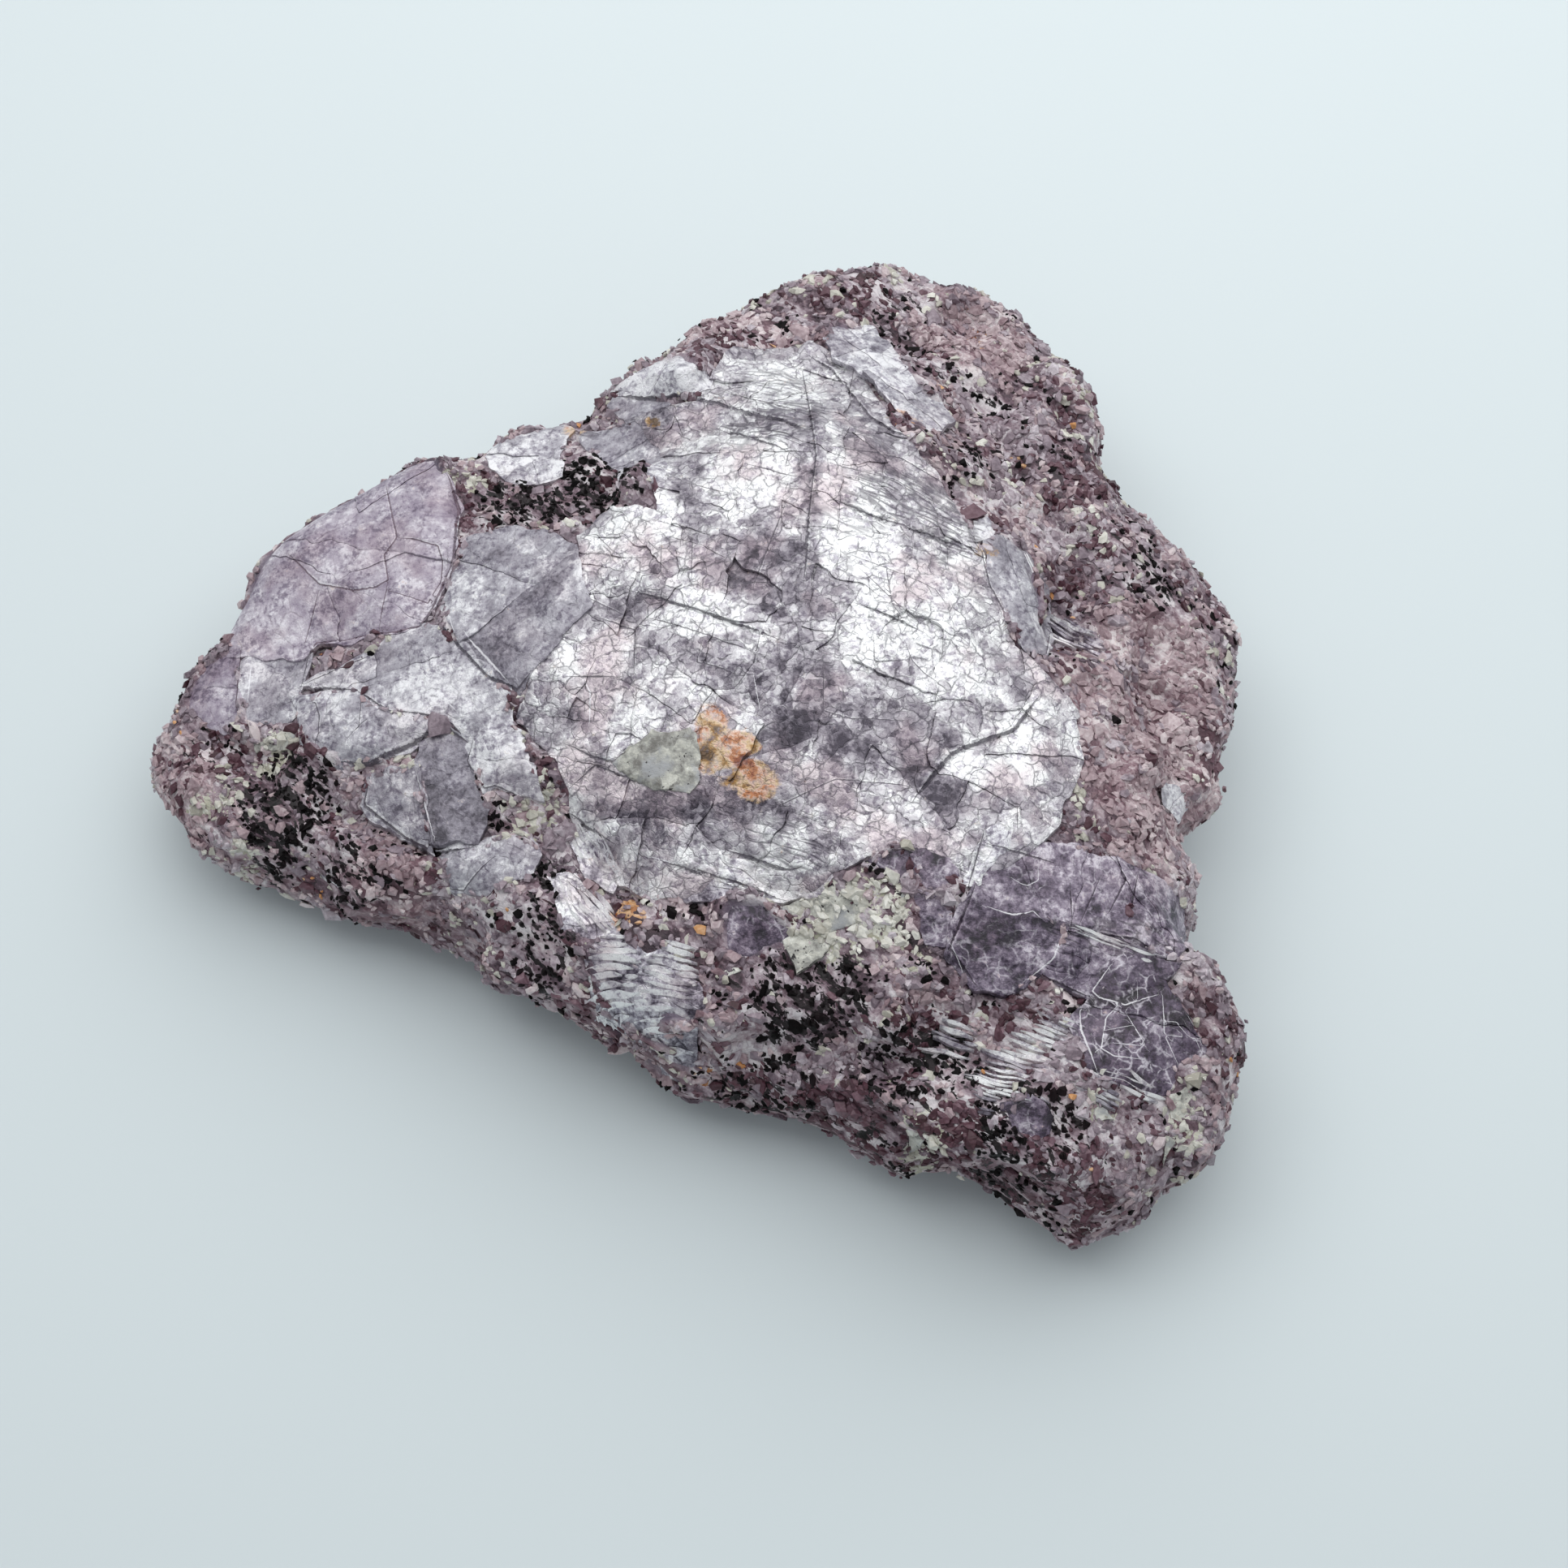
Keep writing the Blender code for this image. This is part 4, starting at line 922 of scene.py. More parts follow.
@dataclass
class RockBody:
    """The rock itself: a finer, roughened copy of the CAD solid."""

    name: str = "rock_body"
    lump: float = 2.4            # spacing of lumps of grains
    lump_height: float = 0.38
    grain: float = 1.15          # spacing of single grains
    grain_height: float = 0.22
    sink: float = 0.6            # how far the rock lies below the sheets on it
    calm: float = 0.85           # how much smoother it is under them
    rim: float = 0.8             # width of the slope down to them
    foot: float = 0.6            # height over which its relief grows from the resting face
    finish: BrokenLepidolite = BrokenLepidolite()

    def build(self, node: Object, sheets: list["Sheet"]) -> Object:
        """Make the rock in place of the CAD node.

        Args:
            node: the CAD node it is copied from.
            sheets: the cleaved sheets that lie on it.

        Returns:
            The rock's object.
        """
        shape = merged_copy(node)
        for rounds in (2, 1):
            bmesh.ops.subdivide_edges(shape, edges=shape.edges[:], cuts=1, use_grid_fill=True)
            soften(shape, rounds)
        shape.normal_update()
        points = np.array([vertex.co for vertex in shape.verts]) / MM
        normals = np.array([vertex.normal for vertex in shape.verts])
        covered = self.covered_share(points, normals, sheets)
        push = (self.lump_height * wobble(points, self.lump, 11.0)
                + self.grain_height * wobble(points, self.grain, 23.0))
        push = push * (1.0 - self.calm * covered) - self.sink * covered
        push *= smooth_step(points[:, 2] / self.foot)
        moved = points + normals * push[:, None]
        moved[:, 2] = np.maximum(moved[:, 2], 0.0)
        for vertex, point in zip(shape.verts, moved):
            vertex.co = Vector(point) * MM
        mesh = made_mesh(shape, self.name)
        plan = frayed(points, amount=0.9, scale=2.2)
        for mineral in filter(PATCHES.get, Mineral):
            write_attribute(mesh, mineral.value, patch_share(plan, mineral) * in_sight(normals))
        write_attribute(mesh, "covered", covered)
        write_attribute(mesh, "wall", 1.0 - facing_up(normals))
        piece = add_piece(self.name, mesh, self.finish.make())
        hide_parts(node.name)
        return piece

    def covered_share(self, points: Array, normals: Array, sheets: list["Sheet"]) -> Array:
        """Return 1 where a sheet lies on the rock and 0 where it is bare."""
        depth = np.full(len(points), -np.inf)
        for sheet in sheets:
            depth = np.maximum(depth, depth_inside(points[:, :2], sheet.outline))
        return smooth_step(depth / self.rim + 0.3) * facing_up(normals)


def facing_up(normals: Array) -> Array:
    """Return 1 on the top of the stone, falling to 0 on its walls and underside."""
    return smooth_step((normals[:, 2] - 0.05) / FACING_FADE)


def in_sight(normals: Array) -> Array:
    """Return 1 on the top and walls of the stone, falling to 0 on its underside."""
    return smooth_step((normals[:, 2] + FACING_FADE) / FACING_FADE)


# ---- The cleaved sheets -------------------------------------------------------------------------

@dataclass
class Sheet:
    """A patch of one cleavage surface, cracked into plates."""

    tile: tuple[float, float]    # usual length of a plate along the cracks and across them
    turn: float                  # direction of the long cracks, in degrees
    tone: float                  # how pale it is, from 0 to 1
    lift: float                  # how far it stands above the ground
    flat: bool                   # one plane, or draped over the ground
    outline: Outline


FLAT, DRAPED = True, False


def cut_sheets(*rows: tuple[float, ...]) -> list[Sheet]:
    """Return sheets from rows: a plate's two lengths, turn, tone, lift, flat, and the outline."""
    return [Sheet((along, across), turn, tone, lift, flat, pairs(run))
            for along, across, turn, tone, lift, flat, *run in rows]


@dataclass
class SheetMosaic:
    """Sheets of one finish, made as one piece of thin plates with cracks between them."""

    name: str
    sheets: list[Sheet]
    finish: CleavedMica | MassiveAlbite
    seed: int
    gap: float = 0.03            # width of a crack
    overlap: float = 0.35        # how far each sheet reaches under its neighbours
    edge_drop: float = 0.05      # how far the broken edges of a plate turn down
    thickness: float = 0.6
    tone_spread: float = 0.12    # how much plates differ in tone
    step_spread: float = 0.03    # how much they differ in height
    tilt_spread: float = 0.02    # and in slope
    ripple: float = 0.08         # height of the ripples on a plate
    fineness: float = 0.38       # longest edge in its mesh
    uneven: tuple[float, float] = (0.7, 1.9)    # how much its plates differ in size
    stray: float = 0.32          # how far a crack strays from its direction, in radians
    off_centre: float = 0.4      # how far a crack misses the middle of what it splits
    fray: tuple[float, float] = (0.5, 1.7)      # reach and size of the waves in the cracks
    crumble: tuple[float, float] = (0.12, 0.5)  # reach and size of their fine teeth

    def build(self, ground: Ground) -> Object:
        """Make the mosaic on the ground and return its object."""
        rng = np.random.default_rng(self.seed)
        shape = bmesh.new()
        tile_layer = shape.faces.layers.int.new("tile")
        sheet_of = []
        for index, sheet in enumerate(self.sheets):
            before = set(shape.faces)
            outline = grown(sheet.outline, self.overlap)
            shape.faces.new([shape.verts.new((x, y, 0.0)) for x, y in outline])
            self.crack(shape, [f for f in shape.faces if f not in before], sheet, rng)
            for face in shape.faces:
                if face not in before:
                    face[tile_layer] = len(sheet_of)
                    sheet_of.append(index)
        self.part_plates(shape)
        self.refine(shape)
        tone = self.lay(shape, tile_layer, sheet_of, ground, rng)
        return self.close(shape, tone)

    def crack(self, shape: Shape, faces: list, sheet: Sheet, rng: Draws) -> None:
        """Cut one sheet's faces into plates, along its crack direction and across it."""
        along = Matrix.Rotation(math.radians(sheet.turn), 3, "Z") @ Vector((1.0, 0.0, 0.0))
        across = Vector((-along.y, along.x, 0.0))
        pending = list(faces)
        while pending:
            face = pending.pop()
            spans = []
            for direction, size in ((along, sheet.tile[0]), (across, sheet.tile[1])):
                reach = [vertex.co.dot(direction) for vertex in face.verts]
                spans.append((max(reach) - min(reach)) / (size * rng.uniform(*self.uneven)))
            if max(spans) < 1.0:
                continue
            normal = (along, across)[int(np.argmax(spans))].copy()
            normal.rotate(Matrix.Rotation(rng.normal(0.0, self.stray), 3, "Z"))
            place = face.calc_center_bounds()
            for direction in (along, across):
                place = place + direction * rng.normal(0.0, self.off_centre)
            geometry = [face, *face.edges, *face.verts]
            cut = bmesh.ops.bisect_plane(shape, geom=geometry, dist=1e-5, plane_co=place,
                                         plane_no=normal)
            halves = [item for item in cut["geom"] if isinstance(item, bmesh.types.BMFace)]
            if len(halves) > 1:
                pending.extend(halves)

    def part_plates(self, shape: Shape) -> None:
        """Open the cracks between the plates."""
        plates = shape.faces[:]
        rims = bmesh.ops.inset_individual(shape, faces=plates, thickness=self.gap / 2.0,
                                          use_even_offset=False)
        bmesh.ops.delete(shape, geom=rims["faces"], context="FACES")

    def refine(self, shape: Shape) -> None:
        """Divide the plates finely enough to follow ripples and ragged cracks."""
        for _ in range(8):
            bmesh.ops.triangulate(shape, faces=shape.faces[:])
            bmesh.ops.beautify_fill(shape, faces=shape.faces[:], edges=shape.edges[:])
            long = [edge for edge in shape.edges if edge.calc_length() > self.fineness]
            if not long:
                break
            bmesh.ops.subdivide_edges(shape, edges=long, cuts=1, use_grid_fill=False)
        bmesh.ops.triangulate(shape, faces=shape.faces[:])

    def lay(self, shape: Shape, tile_layer, sheet_of: list[int], ground: Ground,
            rng: Draws) -> Array:
        """Bend the cracks, set every plate on the ground, and return each vertex's tone."""
        shape.verts.index_update()
        plan = np.array([vertex.co.xy for vertex in shape.verts])
        edge = np.array([float(vertex.is_boundary) for vertex in shape.verts])
        owner = np.array([v.link_faces[0][tile_layer] if v.link_faces else 0 for v in shape.verts])
        plan = frayed(plan, *self.fray)
        reach, size = self.crumble
        teeth = np.column_stack([wobble(plan, size, 5.0), wobble(plan, size, 9.0)])
        settled = ground.settle(plan + reach * teeth)
        plan, height = settled[:, :2], settled[:, 2]
        tone = np.zeros(len(plan))
        order = np.argsort(owner, kind="stable")
        groups = np.split(order, np.flatnonzero(np.diff(owner[order])) + 1)
        planes = [fitted_plane(ground, sheet.outline) for sheet in self.sheets]
        for group in groups:
            index = sheet_of[owner[group[0]]]
            sheet, spot = self.sheets[index], plan[group]
            centre = spot.mean(axis=0)
            offset = spot - centre
            slopes = rng.normal(0.0, self.tilt_spread, 2)
            level = sheet.lift + rng.normal(0.0, self.step_spread)
            if sheet.flat:
                east, north, base = planes[index]
                height[group] = base + spot @ np.array([east, north])
            height[group] += level + offset @ slopes
            tone[group] = sheet.tone + rng.normal(0.0, self.tone_spread)
        height += self.ripple * wobble(plan, 1.6, 31.0) + line_field(plan, CRACKS)[2]
        height -= self.edge_drop * edge
        for vertex, (x, y), z in zip(shape.verts, plan, height):
            vertex.co = (x * MM, y * MM, z * MM)
        return tone

    def close(self, shape: Shape, tone: Array) -> Object:
        """Give the plates their thickness and make the piece."""
        layer = shape.verts.layers.float.new("tone")
        for vertex, shade in zip(shape.verts, tone):
            vertex[layer] = shade
        bmesh.ops.recalc_face_normals(shape, faces=shape.faces[:])
        if sum(face.normal.z for face in shape.faces) < 0.0:
            bmesh.ops.reverse_faces(shape, faces=shape.faces[:])
        underside = shape.faces[:]
        bmesh.ops.extrude_face_region(shape, geom=underside, use_keep_orig=True)
        for face in underside:
            face.normal_flip()
        lowered = {vertex for face in underside for vertex in face.verts}
        bmesh.ops.translate(shape, verts=list(lowered), vec=(0.0, 0.0, -self.thickness * MM))
        mesh = made_mesh(shape, self.name, True)
        plan = read(mesh.vertices, "co", 3)[:, :2] / MM
        # The drawn cracks, and the painted highlights on broken edges that face the light.
        for name, lines in (("crack", CRACKS), ("ledge", LEDGE_HIGHLIGHTS)):
            across, near, _ = line_field(plan, lines)
            write_attribute(mesh, name, across)
            write_attribute(mesh, "near_" + name, near)
        plan = frayed(plan, amount=0.8, scale=2.0)
        # Patches of painted highlight (silver) and painted shade, crease bundles, rust and black
        # mica, by place.
        for kind in (Sheen.SILVER, Sheen.PAINTED_SHADE, Sheen.BUNDLE, Mineral.RUST, Mineral.BLACK):
            write_attribute(mesh, kind.value, patch_share(plan, kind))
        return add_piece(self.name, mesh, self.finish.make())


def fitted_plane(ground: Ground, outline: Outline, share: float = 0.8) -> Array:
    """Fit a plane to the ground under a sheet.

    Args:
        ground: the ground.
        outline: the sheet's outline.
        share: how much of the sheet is looked at, from its middle outwards.

    Returns:
        The plane's slopes east and north, and its level at the origin.
    """
    corners = np.array(outline)
    inner = corners.mean(axis=0) + share * (corners - corners.mean(axis=0))
    spots = np.vstack([inner, 0.5 * (inner + inner.mean(axis=0)), inner.mean(axis=0)[None]])
    matrix = np.column_stack([spots, np.ones(len(spots))])
    return np.linalg.lstsq(matrix, ground.settle(spots)[:, 2], rcond=None)[0]


PEARL_SHEETS = cut_sheets(
    (7.5, 5, -20, 0.58, 0.2, DRAPED,
     -14, -4.5, -13, -1.5, -10, 3, -9.5, 11.5, -6.5, 13.5, -3, 12.5, -3, 20, -6, 25.5, 0, 25,
     3, 31.5, 10, 32, 14, 28, 16.5, 21, 20.5, 16, 23.5, 9.5, 25.5, 1.5, 31, -4, 31, -10, 28, -16,
     22, -20.5, 16.5, -17, 9.5, -20, -3, -20, -5.5, -18.5, -9.5, -12.5, -10.5, -9),
)
SHOULDER_SHEETS = cut_sheets(
    (13, 11, 30, 0.62, 0.25, DRAPED,
     -39, 5, -38.5, 14, -34.5, 17.5, -24.5, 22.5, -22.5, 22.5, -21, 19.5, -20, 16.5, -20, 11,
     -21.5, 6.5, -23, 5, -28, 4.5, -31.5, 5, -32.5, 4, -35, 4),
    (9, 8, 80, 0.4, 0.2, DRAPED, -41.5, 4.5, -38.5, 5, -37.5, -1.5, -39, -2, -42, 0.5, -42.5, 2),
)
GREY_SHEETS = cut_sheets(
    (6, 6, 60, 0.66, 0.15, DRAPED,
     -38, 3.5, -37, 4.5, -32, 4, -32.5, 1.5, -33, 0, -32.5, -1.5, -35, -2, -37, -1.5),
    (7, 5, 20, 0.68, 0.2, DRAPED,
     -32.5, 1, -27, 2.5, -24.5, 4.5, -22.5, 5, -20.5, 3.5, -19.5, -2.5, -20, -4, -23, -3.5,
     -27.5, -0.5),
    (7, 6, -10, 0.62, 0.2, DRAPED,
     -33, 0, -27.5, -0.5, -24.5, -3, -20, -4.5, -24.5, -6.5, -28.5, -6.5, -31.5, -4.5),
    (6, 6, 30, 0.66, 0.2, DRAPED, -20.5, 2.5, -18.5, 2, -15, -2.5, -14.5, -5, -17.5, -6, -20, -3.5),
    (12, 9, 60, 0.57, 0.3, DRAPED,
     -19, 12.5, -15.5, 13, -11.5, 11.5, -10, 10, -8.5, 4, -14, -2.5, -16.5, -1, -20, 4.5, -20.5, 6),
    (5, 5, -40, 0.72, 0.2, DRAPED, -18, -6.5, -15, -5, -13.5, -6, -12, -11, -16.5, -10),
    (9, 9, 0, 0.25, 0.2, FLAT,
     -20, -5, -18, -6, -16.5, -11.5, -17, -14, -20.5, -14, -22, -8, -22, -6),
    (9, 9, 0, 0.62, 0.25, FLAT, -26, -8, -22, -8, -20.5, -14.5, -23, -13, -25, -11.5, -26.5, -10),
    (5, 4, -10, 0.6, 0.2, DRAPED,
     -20, -14.5, -13.5, -14, -12, -15.5, -12.5, -17, -16, -18, -19, -17),
    (6, 6, 40, 0.72, 0.2, DRAPED,
     -18, 22.5, -17, 24, -12, 26, -11, 25, -12, 21.5, -11.5, 19.5, -13, 19, -16.5, 20),
    (4, 6, -80, 0.6, 0.15, DRAPED,
     -10, 24.5, -5.5, 24, -3.5, 21.5, -2.5, 16, -3.5, 15.5, -4.5, 18, -6, 17, -6.5, 19.5,
     -9.5, 22.5),
    (6, 6, -20, 0.75, 0.2, DRAPED, -7.5, 27, -6, 27.5, -2.5, 25.5, -3.5, 24.5, -6, 24.5),
    (7, 6, -20, 0.8, 0.25, DRAPED, -7, 28, -6, 29, -2, 30, 1, 27, 0.5, 25.5),
    (4, 3, -50, 0.72, 0.25, FLAT,
     11.5, 34.5, 15, 34.5, 18, 29.5, 16.5, 28, 15, 27, 12, 29.5, 11, 32.5),
    (3.5, 2.5, -50, 0.85, 0.3, FLAT,
     18, 29.5, 21.5, 24, 20.5, 22, 19, 21.5, 17.5, 22.5, 14.5, 27.5),
    (9, 3.5, -70, 0.55, 0.35, DRAPED,
     25, 11, 28, 10.5, 29, 8.5, 29, 6.5, 29.5, 5, 28.5, 0.5, 27, 0.5, 24.5, 5, 24, 10),
    (3, 3, 0, 0.9, 0.3, FLAT, 24, 13, 24.5, 11.5, 24, 10.5, 23, 10, 23, 12),
    # The last sheet is a small pale flake painted near white where it catches the light: painted
    # highlight on pale mica.
    (3, 2, 60, 0.95, 0.1, DRAPED, 38, -8.5, 39.5, -8.5, 40, -9.5, 39, -10.5, 38, -10.5),
)
PLUM_SHEETS = cut_sheets(
    (9, 6, -80, 0.5, 0.25, DRAPED,
     39.5, -19, 38, -24, 36.5, -24, 31.5, -23, 25, -22.5, 22.5, -20.5, 23.5, -17, 30, -16.5,
     38, -18),
    (12, 9, -10, 0.3, 0.35, FLAT,
     29, -23, 27, -26.5, 24, -28, 22, -27.5, 20, -25.5, 20, -24, 22, -20.5, 24, -22.5),
    (8, 2.5, -14, 0.28, 0.2, DRAPED,
     38, -25, 37, -26, 32.5, -25, 30.5, -28, 27, -26.5, 29, -23, 31.5, -23),
    (6, 6, 0, 0.5, 0.25, FLAT,
     17.5, -18.5, 18.5, -18, 20, -18.5, 20.5, -20, 20, -20.5, 18.5, -21, 18, -20.5),
    (6, 6, 0, 0.42, 0.15, FLAT, 17.5, -21, 20, -21.5, 20, -24, 18.5, -24.5, 18, -23.5),
    (6, 6, 0, 0.12, 0.2, FLAT, 14, -18.5, 16, -17.5, 17, -18, 17, -19, 16, -20),
    (6, 6, 0, 0.02, 0.2, FLAT, 24, -36.5, 26, -36, 27.5, -37.5, 27, -38.5, 26, -39, 24.5, -38.5),
    (7, 7, 0, 0.1, 0.05, DRAPED, 2.5, -21.5, 3, -20.5, 6, -21, 8, -23, 7.5, -24, 5, -25, 3, -24.5),
)
NET_SHEETS = cut_sheets(
    (12, 9, 20, 0.28, 0.25, DRAPED,
     39.5, -31.5, 37.5, -32.5, 36.5, -34.5, 33, -34, 30.5, -33.5, 29.5, -30, 32.5, -25.5, 34, -25,
     36.5, -25.5, 37, -27.5, 39.5, -30.5),
)
SILVER_SHEETS = cut_sheets(
    (9, 4, 65, 0.95, 0.4, FLAT, 21, -20.5, 23, -16.5, 25, -15, 24.5, -17, 23.5, -17.5, 22.5, -20),
    (6, 4, -50, 0.7, 0.25, DRAPED, -9.5, -14.5, -7.5, -14.5, -5.5, -17.5, -6, -18.5, -8, -17.5),
    (5, 2, -50, 0.8, 0.2, DRAPED, -11, -17.5, -9.5, -17.5, -5.5, -21.5, -9.5, -21.5),
    (7, 6, -15, 0.45, 0.1, DRAPED, -2, -17.5, 4, -19.5, 2.5, -20.5, -2.5, -19.5),
    (4, 1.6, -15, 0.95, 0.2, DRAPED,
     2.5, -17.5, 7.5, -18.5, 9.5, -18, 11, -19.5, 10, -20, 6, -20.5, 2.5, -19),
    (3.5, 1.2, -6, 0.25, 0.1, DRAPED,
     -8, -23.5, -5.5, -22.5, -3.5, -24.5, -3.5, -26.5, -4, -28.5, -6, -29, -7.5, -26.5),
    (3.5, 1.2, -16, 0.3, 0.1, DRAPED,
     -3.5, -24.5, -1.5, -24, -0.5, -26, 1, -27, 0.5, -31.5, -2, -32, -4.5, -30.5, -4, -27.5),
    (4, 1.4, -55, 0.5, 0.1, DRAPED, -9.5, -17, -5, -22.5, -7.5, -23, -9.5, -22),
)
ALBITE_MASSES = cut_sheets(
    (9, 9, 0, 0.5, 0.1, DRAPED,
     15, -19, 15, -22, 10, -23.5, 11, -24, 8.5, -26, 7.5, -24, 8.5, -23, 7, -21),
    (9, 9, 0, 0.6, 0.12, DRAPED,
     13.5, -19, 14.5, -18.5, 17, -20.5, 16, -21.5, 16.5, -23, 15.5, -23.5, 14.5, -22.5, 13.5, -23),
    (9, 9, 0, 0.3, 0.42, DRAPED, -6, -9.5, -3, -7.5, -2, -8, 0, -7.5, 1, -10.5, 0, -13, -4.5, -11),
    (9, 9, 0, 0.6, 0.15, DRAPED, 38.5, -34, 39, -35.5, 36.5, -39.5, 37, -35),
    (9, 9, 0, 0.8, 0.15, FLAT, 16, -36.5, 17.5, -37, 19, -39.5, 17, -38),
    (9, 9, 0, 0.8, 0.15, FLAT, 30.5, -35.5, 32.5, -37, 31, -37),
    (9, 9, 0, 0.8, 0.15, FLAT, 2.5, -26, 3, -25.5, 4, -26, 3, -26.5),
    (9, 9, 0, 0.6, 0.1, FLAT, -37, -2.5, -33, -3, -33, -4, -36, -4),
)


# ---- Book edges ---------------------------------------------------------------------------------

@dataclass
class Book:
    """A mica book seen side on."""

    x: float
    y: float
    half_length: float
    half_width: float
    turn: float
    pitch: float                 # spacing of its blades
    tone: float


@dataclass
class BookEdges:
    """The edges of mica books: rows of thin bright blades with dark gaps between them."""

    name: str
    books: list[Book]
    finish: CleavedMica
    seed: int
    lean: float = 0.5            # slope of a blade across its width
    segments: int = 14
    depth: float = 0.7           # height of a blade
    wave: float = 0.22           # how far the blades wave from side to side
    lengths: tuple[float, float] = (2.0, 6.0)
    shortest: float = 0.6        # length under which a blade is left out
    gaps: tuple[float, float] = (0.9, 1.15)         # from blade to blade, in blade lengths
    blunt: float = 0.3           # how square the ends of a book are
    ragged: tuple[float, float] = (0.8, 1.1)        # how uneven they are
    turn_spread: float = 2.0     # how much the blades differ in direction
    tone_spread: float = 0.22    # and in tone
    widths: tuple[float, float] = (0.35, 0.75)      # share of the pitch that a blade fills
    rises: tuple[float, float] = (0.16, 0.38)       # how far it stands above the ground

    def build(self, ground: Ground) -> Object:
        """Make all blades as one piece and return it."""
        rng = np.random.default_rng(self.seed)
        self.blade = self.plain_blade()
        shape = bmesh.new()
        tone = shape.verts.layers.float.new("tone")
        for book in self.books:
            count = max(1, round(2.0 * book.half_width / book.pitch))
            for row in range(count):
                offset = (row + 0.5) * book.pitch - book.half_width
                round_off = 1.0 - (offset / (1.1 * book.half_width)) ** 2
                span = book.half_length * math.sqrt(max(self.blunt, round_off))
                span *= rng.uniform(*self.ragged)
                start = -span
                while start < span:
                    length = rng.uniform(*self.lengths)
                    self.add_blade(shape, tone, book, offset, start, min(start + length, span),
                                   ground, rng)
                    start += length * rng.uniform(*self.gaps)
        bmesh.ops.recalc_face_normals(shape, faces=shape.faces[:])
        return add_piece(self.name, made_mesh(shape, self.name, True), self.finish.make())

    def plain_blade(self) -> Mesh:
        """Return a straight bar of unit length, width and thickness, divided along its length."""
        bar = bmesh.new()
        bmesh.ops.create_cube(bar, size=1.0)
        long = [e for e in bar.edges if abs(e.verts[0].co.x - e.verts[1].co.x) > 0.5]
        bmesh.ops.subdivide_edges(bar, edges=long, cuts=self.segments, use_grid_fill=True)
        return made_mesh(bar, "blade")

    def add_blade(self, shape: Shape, tone, book: Book, offset: float, start: float,
                  end: float, ground: Ground, rng: Draws) -> None:
        """Add one blade of a book, a thin leaning strip with pointed ends."""
        if end - start < self.shortest:
            return
        first = len(shape.verts)
        shape.from_mesh(self.blade)
        shape.verts.ensure_lookup_table()
        verts = shape.verts[first:]
        local = np.array([vertex.co for vertex in verts])
        turn = math.radians(book.turn + rng.normal(0.0, self.turn_spread))
        shade = book.tone + rng.normal(0.0, self.tone_spread)
        width = book.pitch * rng.uniform(*self.widths)
        rise = rng.uniform(*self.rises)
        along = (local[:, 0] + 0.5) * (end - start) + start
        pointed = np.minimum(1.0, 3.0 * (0.5 - np.abs(local[:, 0])) + 0.1)
        side = offset + local[:, 1] * width * pointed
        spot = np.column_stack([along + book.x, np.full(len(along), offset + book.y)])
        side += self.wave * wobble(spot, 1.7, 17.0)
        x = book.x + along * math.cos(turn) - side * math.sin(turn)
        y = book.y + along * math.sin(turn) + side * math.cos(turn)
        spots = ground.settle(np.column_stack([x, y]))
        spots[:, 2] += rise + self.lean * local[:, 1] * width + (local[:, 2] - 0.5) * self.depth
        for vertex, point in zip(verts, spots * MM):
            vertex.co = point
            vertex[tone] = shade


BOOKS = [Book(*row) for row in (
    (-5.8, -25.8, 2.2, 3.2, -6, 0.58, 0.85), (-1.7, -27.6, 2.3, 4, -14, 0.55, 0.85),
    (-7.6, -20.8, 2.2, 1.4, -52, 0.5, 0.9), (19.6, -32.1, 2.1, 0.3, -18, 0.45, 1.1),
    (20.4, -31.2, 2.1, 0.6, -18, 0.4, 0.55), (24.3, -34.9, 3.4, 1.1, -19, 0.36, 0.85),
    (25.4, -33.4, 3.5, 1, -20, 0.4, 0.5), (22.6, -35.7, 1.3, 0.4, -20, 0.3, 0.8),
    (33.2, -34.4, 3.7, 0.5, -13, 0.35, 1), (31, -35.4, 2.2, 0.7, -14, 0.35, 0.65),
    (32.8, -23.7, 4, 0.6, -15, 0.3, 0.75), (27.7, -30.7, 1.6, 0.6, -20, 0.4, 1),
    (34.6, -33.9, 1.2, 0.3, -30, 0.4, 1), (22.6, -37, 0.8, 0.3, -25, 0.3, 0.5),
    (27.8, 8.8, 1.7, 0.6, -62, 0.35, 1), (31.2, 4.6, 3, 1.3, -38, 0.38, 0.5),
    (33.4, 1, 2.4, 1.1, -44, 0.38, 0.4), (27, -32, 2.6, 1, -25, 0.45, 1.15),
    (28.2, -29.8, 2, 0.7, -22, 0.42, 0.9), (20.6, -30.4, 1.6, 0.5, -20, 0.42, 1),
    (-9.9, -18.9, 1.7, 0.6, -75, 0.45, 0.9), (-8.3, -14.9, 2.3, 0.9, -60, 0.4, 1),
    (-29.2, -16.6, 2.6, 0.5, -28, 0.4, 0.8),
)]


# ---- The grains ---------------------------------------------------------------------------------

@dataclass
class GrainKind:
    """Grains of one mineral: what they are, how common on bare rock, how large."""

    mineral: Mineral
    finish: GrainFinish
    common: float                # how common it is off its patches; it may be below 0
    size: float                  # usual half length of a grain
    pull: float = 0.55           # how much commoner it is on its patches


